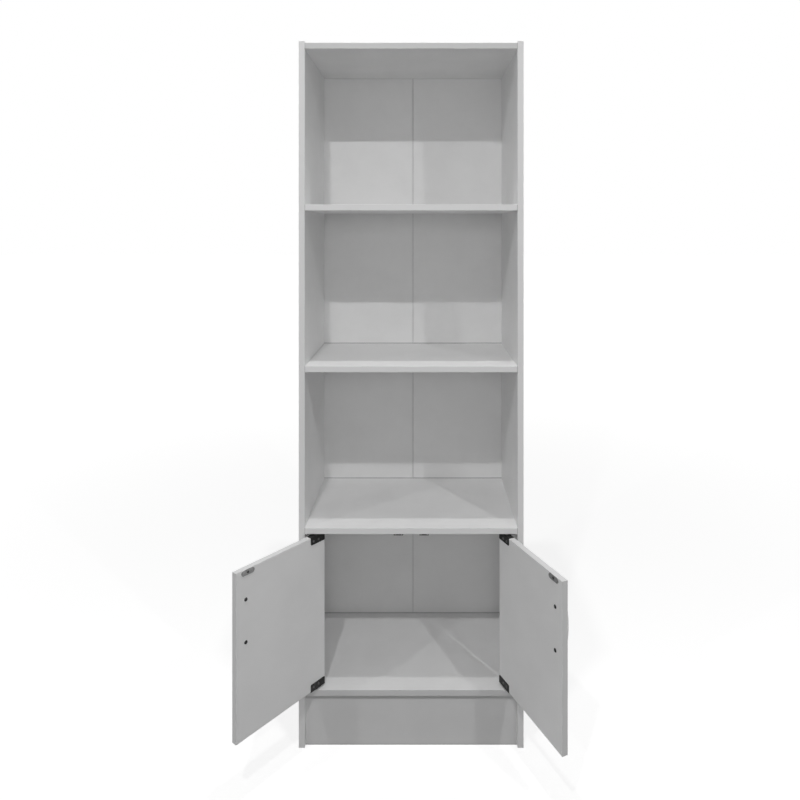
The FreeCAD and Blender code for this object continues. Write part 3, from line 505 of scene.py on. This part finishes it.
# Painted contact shade along the plinth's foot, where it stands on the floor
FOOT_SHADE_HEIGHT = 0.004
FOOT_SHADE_SHARE = 0.5
CHIP_NOISE = (420.0, 3.0, 0.7)
CHIP_RANGE = (0.35, 0.65)
LACQUER_FADE = 0.0002
FIBRE_NOISE = (300.0, 5.0, 0.7)
# Share of dust and painted shade in the corner above each shelf
CREVICE_DUST_AND_SHADE = 0.7
RAW_ROUGHNESS = 0.9
# Radians per metre of the marks that the press's mesh leaves
MESH_MARKS = 2200.0


def foil_surface(graph, position):
    """Clouds, dimples and smears in the sizes of this bookcase."""
    board = settings().board
    return use_group(graph, "foil_surface", {
        "Position": position, "Cloud Size": board.cloud_size, "Peel Size": board.peel_size,
    })


def foil_layers(graph, shader, position, low, high, tone):
    """Clouds, gloss and dimples of foil on a board; returns its colour and the masks of its edges."""
    board = settings().board
    edges = use_group(graph, "board_edges", {
        "Position": position, "Low": low, "High": high,
        "Wear Width": board.wear_width, "Seam Width": board.seam_width,
    })
    foil = foil_surface(graph, position)
    smeared = board.roughness + SMEAR_ROUGHNESS
    gloss = graph.ramp(foil["Smears"], 0.0, 1.0, board.roughness, smeared)
    graph.feed(shader.inputs["Roughness"], gloss)
    bump(graph, shader, foil["Peel"], board.peel_depth)
    return mottle(graph, foil["Clouds"], tone, board.clouds), edges


def rub_and_dust(graph, shader, position, normal, covered, edges):
    """Rubs the edges of a board and lets dust settle on it."""
    worn = rgba(settings().board.worn)
    dust = use_group(graph, "settled_dust", {"Position": position, "Normal": normal})["Dust"]
    rubbed = graph.mix(graph.math("MULTIPLY", edges["Wear"], RUB_SHARE), covered, worn)
    dusty = graph.mix(graph.math("MULTIPLY", dust, DUST_SHARE), rubbed, worn)
    graph.feed(shader.inputs["Base Color"], dusty)


def foil_tone(node):
    """Tone of the foil on a board of the carcase."""
    board = settings().board
    # Painted shade on the plinth and painted light on the open shelves: darker and whiter copies of the same
    # foil
    if node == "plinth_board":
        return board.plinth
    return board.painted_light_foil if node in OPEN_SHELVES else board.foil


def plinth_painted_shade(graph, position, low, high, plain):
    """Painted shadow under the cabinet floor's overhang and painted contact shade along the foot of the
    plinth.
    """
    height = graph.split(position)["Z"]
    begins, full = (high.z - depth for depth in OVERHANG_SHADOW_DEPTHS)
    # Painted shadow that the cabinet floor's overhang casts on the top of the plinth, and painted contact
    # shade along its foot
    joint = graph.ramp(height, begins, full, 0.0, OVERHANG_SHADOW_SHARE)
    foot = graph.ramp(height, low.z, low.z + FOOT_SHADE_HEIGHT, FOOT_SHADE_SHARE, 0.0)
    return graph.mix(graph.math("MAXIMUM", joint, foot), plain, rgba(settings().board.seam))


def front_band(graph, node, edges, plain):
    """The band on a board's front edge, with grimy joints at the ends of a shelf."""
    board = settings().board
    band = board.dull_band if node in DULL_BANDS else board.band
    banded = graph.mix(edges["Front"], plain, rgba(band))
    if node not in SHELVES:
        return banded
    joint = graph.math("MULTIPLY", edges["Front"], edges["Ends"])
    return graph.mix(joint, banded, rgba(board.seam))


def carcase_foil(node):
    """Foil for a board of the carcase, banded in front, bare behind and grimy in its joints, with painted
    shade under the overhang and along the foot of the plinth.
    """
    board = settings().board
    low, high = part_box(node)
    material, graph, shader, coordinates = new_material(f"{node}_foil")
    position = coordinates["Object"]
    plain, edges = foil_layers(graph, shader, position, low, high, foil_tone(node))
    if node == "plinth_board":
        covered = plinth_painted_shade(graph, position, low, high, plain)
    else:
        covered = front_band(graph, node, edges, plain)
    chips = graph.ramp(graph.noise(position, *CHIP_NOISE), *CHIP_RANGE)
    bare = graph.mix(chips, rgba(board.core), rgba(board.worn))
    finished = graph.mix(edges["Rear"], covered, bare)
    rub_and_dust(graph, shader, position, coordinates["Normal"], finished, edges)
    return material


def door_foil(side):
    """Foil and edge bands for a door, worked out as if the door were shut."""
    board = settings().board
    turn, pivot, angle = door_turn(side)
    shut = turn.inverted()
    vertices = frame["nodes"][f"{side}_door_panel"].data.vertices
    low, high = corners_of([pivot + shut @ (vertex.co - pivot) for vertex in vertices])
    material, graph, shader, coordinates = new_material(f"{side}_door_foil")
    position = graph.add("ShaderNodeMapping", {
        "Vector": coordinates["Object"], "Rotation": (0, 0, -angle), "Location": pivot - shut @ pivot,
    }).outputs["Vector"]
    # Painted light: the doors take the whiter copy of the foil
    plain, edges = foil_layers(graph, shader, position, low, high, board.painted_light_foil)
    banded = graph.mix(edges["Rim"], plain, rgba(board.door_band))
    rub_and_dust(graph, shader, position, coordinates["Normal"], banded, edges)
    return material


def back_lacquer(node):
    """White lacquer on the front of a hardboard leaf, with dust and painted shade in the corner above each
    shelf, and the press's mesh marks on its raw rear.
    """
    board = settings().board
    low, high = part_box(node)
    material, graph, shader, coordinates = new_material(f"{node}_lacquer")
    position = coordinates["Object"]
    foil = foil_surface(graph, position)
    spot = graph.split(position)
    middle = (low.y + high.y) / 2
    rear = graph.ramp(spot["Y"], middle, middle + LACQUER_FADE)
    raw = graph.mix(graph.noise(position, *FIBRE_NOISE), rgba(board.raw_back), rgba(board.core))
    white = mottle(graph, foil["Clouds"], board.lacquer, board.clouds)
    # Dust and painted shade in the corner where each shelf meets the back
    crevice_dust_and_shade = 0.0
    for shelf in SHELVES:
        above = graph.math("ABSOLUTE", graph.math("SUBTRACT", spot["Z"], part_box(shelf)[1].z))
        crevice = graph.ramp(above, 0.0, board.crevice, CREVICE_DUST_AND_SHADE, 0.0)
        crevice_dust_and_shade = graph.math("MAXIMUM", crevice_dust_and_shade, crevice)
    dusty_and_shaded = graph.mix(crevice_dust_and_shade, white, rgba(board.seam))
    graph.feed(shader.inputs["Base Color"], graph.mix(rear, dusty_and_shaded, raw))
    graph.feed(shader.inputs["Roughness"], graph.ramp(rear, 0.0, 1.0, board.roughness, RAW_ROUGHNESS))
    across = graph.math("SINE", graph.math("MULTIPLY", spot["X"], MESH_MARKS))
    upwards = graph.math("SINE", graph.math("MULTIPLY", spot["Z"], MESH_MARKS))
    mesh_marks = graph.math("MULTIPLY", graph.math("MULTIPLY", across, upwards), rear)
    bump(graph, shader, graph.math("ADD", foil["Peel"], mesh_marks), board.peel_depth)
    return material


# Finishes of the hardware

GRAIN_DEPTH = 0.00001
GRAIN_RANGE = (0.3, 0.7)
GLOSS_SPREAD = 0.08


def grained(name, tone, grain, roughness, metallic=0.0, contrast=0.25, shine=0.5):
    """A metal or plastic whose tone, gloss and surface vary with a fine grain."""
    material, graph, shader, coordinates = new_material(name)
    marks = use_group(graph, "metal_grain", {"Position": coordinates["Object"], "Grain Size": grain})
    graph.feed(shader.inputs["Base Color"], mottle(graph, marks["Blotches"], tone, contrast))
    glossy, dull = roughness - GLOSS_SPREAD, roughness + GLOSS_SPREAD
    graph.feed(shader.inputs["Roughness"], graph.ramp(marks["Grain"], *GRAIN_RANGE, glossy, dull))
    shader.inputs["Metallic"].default_value = metallic
    shader.inputs["Specular IOR Level"].default_value = shine
    bump(graph, shader, marks["Grain"], GRAIN_DEPTH)
    return material


def hardware_finishes():
    """Every hardware finish by name, made once."""
    tone = settings().hardware
    return {
        "hinge": grained("hinge_enamel", tone.hinge, grain=0.0008, roughness=0.42, contrast=0.4, shine=0.3),
        "steel": grained("zinc_plate", tone.steel, grain=0.0006, roughness=0.38, metallic=1.0),
        "strike": grained("dull_strike_steel", tone.strike, grain=0.0006, roughness=0.45, metallic=0.6),
        "nylon": grained("washer_nylon", tone.nylon, grain=0.001, roughness=0.5),
        "catch": grained("catch_plastic", tone.catch, grain=0.0006, roughness=0.5),
        "ferrite": grained("magnet_ferrite", tone.ferrite, grain=0.0005, roughness=0.6),
        "handle": grained(
            "satin_handle", tone.handle, grain=0.0005, roughness=0.32, metallic=1.0, contrast=0.1,
        ),
        "dark_screw": grained(
            "blackened_screw", tone.dark_screw, grain=0.0005, roughness=0.4, metallic=0.5,
        ),
        "leaf_screw": grained(
            "worn_leaf_screw", tone.leaf_screw, grain=0.0005, roughness=0.4, metallic=0.5,
        ),
        "cap": grained("cap_plastic", tone.cap, grain=0.001, roughness=0.45, contrast=0.05),
        "tape": grained("paper_tape", tone.tape, grain=0.0015, roughness=0.85, contrast=0.12),
    }


FINISHES = {}


def hardware(name):
    """One of the hardware finishes, which are all made at the first call."""
    if not FINISHES:
        FINISHES.update(hardware_finishes())
    return FINISHES[name]


# Fasteners

HEAD_SIDES = 28
SHANK_SIDES = 14
FILL_RINGS = 3
SMOOTH_ANGLE = math.radians(32)
CAP_STEM = 0.002
NAIL_SHANK = 0.0008
SCREW_SHANK = 0.0015
HANDLE_SHANK = 0.002
# Height and crown of a head, of its radius; the settings give a pan head's crown
HEAD_HEIGHTS = {"pan": 0.6, "cap": 0.25, "nail": 0.4}
CROWNS = {"cap": 0.7, "nail": 0.95}
DOOR_SCREWS = (
    ("leaf_screws", "pan", SCREW_SHANK, "leaf_screw"),
    ("strike_screw", "flat", SCREW_SHANK, "dark_screw"),
    ("handle_screws", "pan", HANDLE_SHANK, "dark_screw"),
)
HEAD_SIZES = (
    "Base Radius", "Crown Radius", "Head Height", "Dome", "Shank Radius", "Shank Length",
    "Recess Length", "Recess Width", "Recess Depth",
)


def fastener_tree():
    """Heads and shanks on points, each turned about its own axis."""
    tree = bpy.data.node_groups.new("fastener_heads", "GeometryNodeTree")
    tree.interface.new_socket("Points", in_out="INPUT", socket_type="NodeSocketGeometry")
    for name in HEAD_SIZES:
        tree.interface.new_socket(name, in_out="INPUT", socket_type=FLOAT)
    tree.interface.new_socket("Cross Recess", in_out="INPUT", socket_type="NodeSocketBool")
    tree.interface.new_socket("Seed", in_out="INPUT", socket_type="NodeSocketInt")
    tree.interface.new_socket("Finish", in_out="INPUT", socket_type="NodeSocketMaterial")
    tree.interface.new_socket("Fasteners", in_out="OUTPUT", socket_type="NodeSocketGeometry")
    graph = Graph(tree)
    given = graph.add("NodeGroupInput").outputs
    head = fastener_head(graph, given)
    shank = graph.add("GeometryNodeMeshCylinder", {
        "Vertices": SHANK_SIDES, "Radius": given["Shank Radius"], "Depth": given["Shank Length"],
    })
    drop = graph.add("ShaderNodeCombineXYZ", {"Z": graph.math("MULTIPLY", given["Shank Length"], -0.5)})
    lowered = graph.add("GeometryNodeTransform", {
        "Geometry": shank.outputs["Mesh"], "Translation": drop.outputs["Vector"],
    })
    whole = graph.add("GeometryNodeJoinGeometry")
    graph.feed(whole.inputs["Geometry"], head)
    graph.feed(whole.inputs["Geometry"], lowered.outputs["Geometry"])
    facing = graph.add("GeometryNodeInputNamedAttribute", {"Name": "facing"}, data_type="FLOAT_VECTOR")
    upright = graph.add("FunctionNodeAlignRotationToVector", {
        "Vector": facing.outputs["Attribute"],
    }, axis="Z")
    spin = graph.add("FunctionNodeRandomValue", data_type="FLOAT")
    for socket in spin.inputs:
        if socket.identifier == "Max_001":
            socket.default_value = math.tau
        if socket.identifier == "Seed":
            graph.feed(socket, given["Seed"])
    angle = [socket for socket in spin.outputs if socket.identifier == "Value_001"][0]
    about_axis = graph.add("ShaderNodeCombineXYZ", {"Z": angle}).outputs["Vector"]
    turned = graph.add("FunctionNodeRotateRotation", rotation_space="LOCAL")
    graph.feed(turned.inputs["Rotation"], upright.outputs["Rotation"])
    graph.feed(turned.inputs["Rotate By"], about_axis)
    placed = graph.add("GeometryNodeInstanceOnPoints", {
        "Points": given["Points"], "Instance": whole.outputs["Geometry"],
        "Rotation": turned.outputs["Rotation"],
    })
    real = graph.add("GeometryNodeRealizeInstances", {"Geometry": placed.outputs["Instances"]})
    painted = graph.add("GeometryNodeSetMaterial", {
        "Geometry": real.outputs["Geometry"], "Material": given["Finish"],
    })
    graph.feed(graph.add("NodeGroupOutput").inputs["Fasteners"], painted.outputs["Geometry"])
    return tree


def fastener_head(graph, given):
    """A head that stands on height zero, domed, with or without a cross recess."""
    cone = graph.add("GeometryNodeMeshCone", {
        "Vertices": HEAD_SIDES, "Fill Segments": FILL_RINGS, "Radius Bottom": given["Base Radius"],
        "Radius Top": given["Crown Radius"], "Depth": given["Head Height"],
    }, fill_type="TRIANGLE_FAN")
    point = graph.split(graph.add("GeometryNodeInputPosition").outputs["Position"])
    squares = [graph.math("POWER", point[axis], 2.0) for axis in ("X", "Y")]
    crown = graph.math("POWER", given["Crown Radius"], 2.0)
    reach = graph.math("DIVIDE", graph.math("ADD", *squares), crown)
    inside = graph.math("MAXIMUM", graph.math("SUBTRACT", 1.0, reach), 0.0)
    rise = graph.math("MULTIPLY", given["Dome"], inside)
    domed = graph.add("GeometryNodeSetPosition", {
        "Geometry": cone.outputs["Mesh"], "Selection": cone.outputs["Top"],
        "Offset": graph.add("ShaderNodeCombineXYZ", {"Z": rise}).outputs["Vector"],
    })
    top = graph.add("ShaderNodeCombineXYZ", {"Z": graph.math("ADD", given["Head Height"], given["Dome"])})
    height = graph.math("MULTIPLY", given["Recess Depth"], 2.0)
    arms = []
    for names in (("X", "Y"), ("Y", "X")):
        size = graph.add("ShaderNodeCombineXYZ", {
            names[0]: given["Recess Length"], names[1]: given["Recess Width"], "Z": height,
        })
        arm = graph.add("GeometryNodeMeshCube", {"Size": size.outputs["Vector"]})
        arms.append(graph.add("GeometryNodeTransform", {
            "Geometry": arm.outputs["Mesh"], "Translation": top.outputs["Vector"],
        }).outputs["Geometry"])
    cross = graph.add("GeometryNodeMeshBoolean", operation="DIFFERENCE", solver="EXACT")
    graph.feed(cross.inputs["Mesh 1"], domed.outputs["Geometry"])
    for arm in arms:
        graph.feed(cross.inputs["Mesh 2"], arm)
    choice = graph.add("GeometryNodeSwitch", {
        "Switch": given["Cross Recess"], "False": domed.outputs["Geometry"], "True": cross.outputs["Mesh"],
    }, input_type="GEOMETRY")
    return choice.outputs["Output"]


def measure(solid, facing):
    """Middle, top, whole length and greatest radius of a turned solid about the way that it faces."""
    middle = middle_of(solid)
    heights = [(point - middle).dot(facing) for point in solid]
    reaches = [((point - middle) - facing * (point - middle).dot(facing)).length for point in solid]
    return middle, max(heights), max(heights) - min(heights), max(reaches)


def head_sizes(kind, radius, shank, whole):
    """Sizes and height of one kind of head, from the radius, shank and length of its fastener."""
    size = settings().fastener
    if kind == "flat":
        total = radius - shank
        return {"Base Radius": shank, "Crown Radius": radius, "Head Height": total, "Dome": 0.0}, total
    total = min(whole, radius * HEAD_HEIGHTS[kind])
    return {
        "Base Radius": radius, "Crown Radius": radius * CROWNS.get(kind, size.crown),
        "Head Height": total * size.rim, "Dome": total * (1 - size.rim),
    }, total


def always(way):
    """The same facing wherever a fastener is."""
    return lambda spot: way


def scatter_fasteners(node, body, facings, kind, shank, finish):
    """Replaces a group node of the frame by fasteners with real heads.

    The solids of a group are alike, so the sizes of the last one are those of all.
    """
    size = settings().fastener
    places = []
    ways = []
    for solid in solids_of(node):
        facing = facings(middle_of(solid))
        middle, top, whole, radius = measure(solid, facing)
        sizes, total = head_sizes(kind, radius, shank, whole)
        places.append(middle + facing * (top - total))
        ways.append(facing)
    mesh = bpy.data.meshes.new(f"{node}_points")
    mesh.from_pydata(places, [], [])
    held = mesh.attributes.new("facing", "FLOAT_VECTOR", "POINT")
    held.data.foreach_set("vector", [number for way in ways for number in way])
    carrier = add_object(f"{node}_points", mesh)
    heads = carrier.modifiers.new("heads", "NODES")
    tree = bpy.data.node_groups.get("fastener_heads") or fastener_tree()
    heads.node_group = tree
    values = {
        **sizes, "Shank Radius": shank, "Shank Length": whole - total,
        "Recess Length": 2 * radius * size.recess_length, "Recess Width": 2 * radius * size.recess_width,
        "Recess Depth": size.recess_depth, "Cross Recess": kind in ("pan", "flat"), "Seed": size.seed,
        "Finish": hardware(finish),
    }
    for socket in tree.interface.items_tree:
        if socket.in_out == "INPUT" and socket.name in values:
            heads[socket.identifier] = values[socket.name]
    depsgraph = bpy.context.evaluated_depsgraph_get()
    made = bpy.data.meshes.new_from_object(carrier.evaluated_get(depsgraph))
    bpy.data.objects.remove(carrier)
    made.polygons.foreach_set("use_smooth", [True] * len(made.polygons))
    made.set_sharp_from_angle(angle=SMOOTH_ANGLE)
    piece = add_object(f"{node}_heads", made)
    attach(piece, body)
    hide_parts(node)


# Operators, one for each piece or group of like pieces

class BOOKCASE_OT_boards(Operator):
    """Foil on the sides, shelves and plinth"""
    bl_idname = "bookcase.boards"
    bl_label = "Boards"

    def execute(self, context):
        for node in (*SHELVES, *(f"{side}_side_panel" for side in SIDES), "plinth_board"):
            dress(node, carcase_foil(node))
        return {"FINISHED"}


class BOOKCASE_OT_back(Operator):
    """Lacquer on the back leaves, and the paper tape behind their joint"""
    bl_idname = "bookcase.back"
    bl_label = "Back"

    def execute(self, context):
        for side in SIDES:
            dress(f"{side}_back_leaf", back_lacquer(f"{side}_back_leaf"))
        low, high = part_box("left_back_leaf")
        size = settings().fastener
        half = size.tape_width / 2
        mesh = bmesh.new()
        corners = ((-half, low.z), (half, low.z), (half, high.z), (-half, high.z))
        face = mesh.faces.new([mesh.verts.new((x, high.y, z)) for x, z in corners])
        raised = bmesh.ops.extrude_face_region(mesh, geom=[face])
        moved = [item for item in raised["geom"] if isinstance(item, bmesh.types.BMVert)]
        bmesh.ops.translate(mesh, verts=moved, vec=(0, size.tape_thickness, 0))
        bmesh.ops.recalc_face_normals(mesh, faces=mesh.faces)
        made = bpy.data.meshes.new("back_joint_tape")
        mesh.to_mesh(made)
        mesh.free()
        made.materials.append(hardware("tape"))
        tape = add_object("back_joint_tape", made)
        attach(tape, "carcase")
        return {"FINISHED"}


class BOOKCASE_OT_doors(Operator):
    """Foil on the two doors"""
    bl_idname = "bookcase.doors"
    bl_label = "Doors"

    def execute(self, context):
        for side in SIDES:
            dress(f"{side}_door_panel", door_foil(side))
        return {"FINISHED"}


class BOOKCASE_OT_hinges(Operator):
    """Enamel on the hinge leaves and plates, with their pins and washers"""
    bl_idname = "bookcase.hinges"
    bl_label = "Hinges"

    def execute(self, context):
        finishes = {"leaf": "hinge", "plate": "hinge", "pin": "steel", "washer": "nylon"}
        for side in SIDES:
            for level in LEVELS:
                for part, name in finishes.items():
                    dress(f"{side}_{level}_hinge_{part}", hardware(name))
        return {"FINISHED"}


class BOOKCASE_OT_catches(Operator):
    """Magnetic catches and the strike plates that they hold"""
    bl_idname = "bookcase.catches"
    bl_label = "Catches"

    def execute(self, context):
        for side in SIDES:
            dress(f"{side}_catch_housing", hardware("catch"))
            dress(f"{side}_catch_magnet", hardware("ferrite"))
            dress(f"{side}_catch_poles", hardware("steel"))
            dress(f"{side}_strike_plate", hardware("strike"))
        return {"FINISHED"}


class BOOKCASE_OT_handles(Operator):
    """Satin metal on the bow handles"""
    bl_idname = "bookcase.handles"
    bl_label = "Handles"

    def execute(self, context):
        for side in SIDES:
            dress(f"{side}_handle", hardware("handle"))
        return {"FINISHED"}


class BOOKCASE_OT_fasteners(Operator):
    """Screws, caps and nails with real heads"""
    bl_idname = "bookcase.fasteners"
    bl_label = "Fasteners"

    def execute(self, context):
        dress("panel_screws", hardware("steel"))
        scatter_fasteners(
            "screw_caps", "carcase", lambda spot: Vector((math.copysign(1, spot.x), 0, 0)),
            "cap", CAP_STEM, "cap",
        )
        scatter_fasteners(
            "back_nails", "carcase", always(Vector((0, 1, 0))),
            "nail", NAIL_SHANK, "steel",
        )
        half_way = (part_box("cabinet_top_shelf")[0].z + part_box("cabinet_floor")[1].z) / 2
        scatter_fasteners(
            "hinge_plate_screws", "carcase", lambda spot: Vector((0, 0, -1 if spot.z > half_way else 1)),
            "flat", SCREW_SHANK, "steel",
        )
        scatter_fasteners(
            "catch_screws", "carcase", always(Vector((0, 0, -1))),
            "pan", SCREW_SHANK, "steel",
        )
        for side in SIDES:
            inwards = always(door_inwards(side))
            for group, kind, shank, finish in DOOR_SCREWS:
                scatter_fasteners(
                    f"{side}_{group}", f"{side}_door", inwards, kind, shank, finish,
                )
        return {"FINISHED"}


class BOOKCASE_OT_stage(Operator):
    """Camera, lamps, fill light and floor"""
    bl_idname = "bookcase.stage"
    bl_label = "Stage"

    def execute(self, context):
        stage = settings().stage
        context.scene.view_settings.view_transform = "Standard"
        set_camera(stage)
        set_lamps(stage)
        set_fill(stage)
        set_floor(stage)
        return {"FINISHED"}


# The fill from behind is full where the Y of its direction reaches this
REAR_SPREAD = 0.8
FLOOR_ROUGHNESS = 0.8


def set_camera(stage):
    """A level camera whose shift puts the sight line on its pixel of the picture."""
    data = bpy.data.cameras.new("picture_camera")
    data.lens = stage.focal_pixels / IMAGE_PIXELS * data.sensor_width
    data.shift_x = 0.5 - stage.sight_x / IMAGE_PIXELS
    data.shift_y = stage.sight_y / IMAGE_PIXELS - 0.5
    camera = add_object("picture_camera", data)
    camera.location = stage.camera
    camera.rotation_euler = (math.pi / 2, 0, 0)
    bpy.context.scene.camera = camera


def set_lamps(stage):
    """Four ceiling lamps that face down, and a soft lamp in front."""
    for name in ("main", "left", "right", "near"):
        data = bpy.data.lights.new(f"{name}_lamp", "AREA")
        data.shape = "DISK"
        data.size = stage.lamp_size
        add_lamp(data, getattr(stage, f"{name}_lamp"), getattr(stage, f"{name}_power"))
    data = bpy.data.lights.new("front_lamp", "POINT")
    data.shadow_soft_size = stage.front_size / 2
    add_lamp(data, stage.front_lamp, stage.front_power)


def add_lamp(data, spot, watts):
    """Hangs a lamp in its place."""
    data.energy = watts
    add_object(data.name, data).location = spot


def seen_straight(graph):
    """One for rays that show the picture's white, from the camera or in a mirror or glass."""
    path = graph.add("ShaderNodeLightPath").outputs
    seen = graph.math("MAXIMUM", path["Is Camera Ray"], path["Is Glossy Ray"])
    return graph.math("MAXIMUM", seen, path["Is Transmission Ray"])


def set_fill(stage):
    """Even light, stronger from behind where no lamp stands, which looks white."""
    world = bpy.data.worlds.new("white_studio")
    world.use_nodes = True
    graph = Graph(world.node_tree)
    background = world.node_tree.nodes["Background"]
    behind = graph.split(graph.add("ShaderNodeTexCoord").outputs["Generated"])["Y"]
    light = graph.ramp(behind, 0.0, REAR_SPREAD, stage.fill, stage.rear_fill)
    graph.feed(background.inputs["Strength"], graph.math("MAXIMUM", light, seen_straight(graph)))
    background.inputs["Color"].default_value = (1, 1, 1, 1)
    bpy.context.scene.world = world


def set_floor(stage):
    """A wide pale floor that keeps the shadow of the bookcase."""
    half = stage.floor_size / 2
    corners = [(-half, -half, 0), (half, -half, 0), (half, half, 0), (-half, half, 0)]
    mesh = bpy.data.meshes.new("pale_floor")
    mesh.from_pydata(corners, [], [(0, 1, 2, 3)])
    floor = add_object("pale_floor", mesh)
    material, graph, shader, coordinates = new_material("pale_floor")
    seen = seen_straight(graph)
    graph.feed(shader.inputs["Base Color"], graph.mix(seen, rgba(stage.floor), rgba(stage.floor_seen)))
    shader.inputs["Roughness"].default_value = FLOOR_ROUGHNESS
    shader.inputs["Specular IOR Level"].default_value = 0.0
    away = graph.add("ShaderNodeVectorMath", {0: coordinates["Object"]}, operation="LENGTH")
    white = graph.ramp(
        away.outputs["Value"], stage.near_reach, stage.far_reach, stage.near_glow, stage.far_glow,
    )
    glow = graph.add("ShaderNodeEmission", {"Strength": graph.math("MULTIPLY", seen, white)})
    both = graph.add("ShaderNodeAddShader", {0: shader.outputs["BSDF"], 1: glow.outputs["Emission"]})
    graph.feed(material.node_tree.nodes["Material Output"].inputs["Surface"], both.outputs["Shader"])
    mesh.materials.append(material)


class VIEW3D_PT_bookcase(Panel):
    """Lists the bookcase's pieces and settings"""
    bl_label = "Bookcase"
    bl_space_type = "VIEW_3D"
    bl_region_type = "UI"
    bl_category = "Bookcase"

    def draw(self, context):
        for operator in OPERATORS:
            self.layout.operator(operator.bl_idname)
        for part in ("board", "hardware", "fastener", "stage"):
            group = getattr(context.scene.bookcase, part)
            box = self.layout.box()
            for name in group.__annotations__:
                box.prop(group, name)


OPERATORS = (
    BOOKCASE_OT_boards,
    BOOKCASE_OT_back,
    BOOKCASE_OT_doors,
    BOOKCASE_OT_hinges,
    BOOKCASE_OT_catches,
    BOOKCASE_OT_handles,
    BOOKCASE_OT_fasteners,
    BOOKCASE_OT_stage,
)
CLASSES = (
    BoardFinish, HardwareFinish, FastenerSizes, StageSetup, BookcaseSettings, *OPERATORS, VIEW3D_PT_bookcase,
)


def register():
    for item in CLASSES:
        bpy.utils.register_class(item)
    bpy.types.Scene.bookcase = PointerProperty(type=BookcaseSettings)


def unregister():
    del bpy.types.Scene.bookcase
    for item in reversed(CLASSES):
        bpy.utils.unregister_class(item)


def main():
    register()
    bpy.ops.bookcase.boards()
    bpy.ops.bookcase.back()
    bpy.ops.bookcase.doors()
    bpy.ops.bookcase.hinges()
    bpy.ops.bookcase.catches()
    bpy.ops.bookcase.handles()
    bpy.ops.bookcase.fasteners()
    bpy.ops.bookcase.stage()


if __name__ == "__main__":
    main()
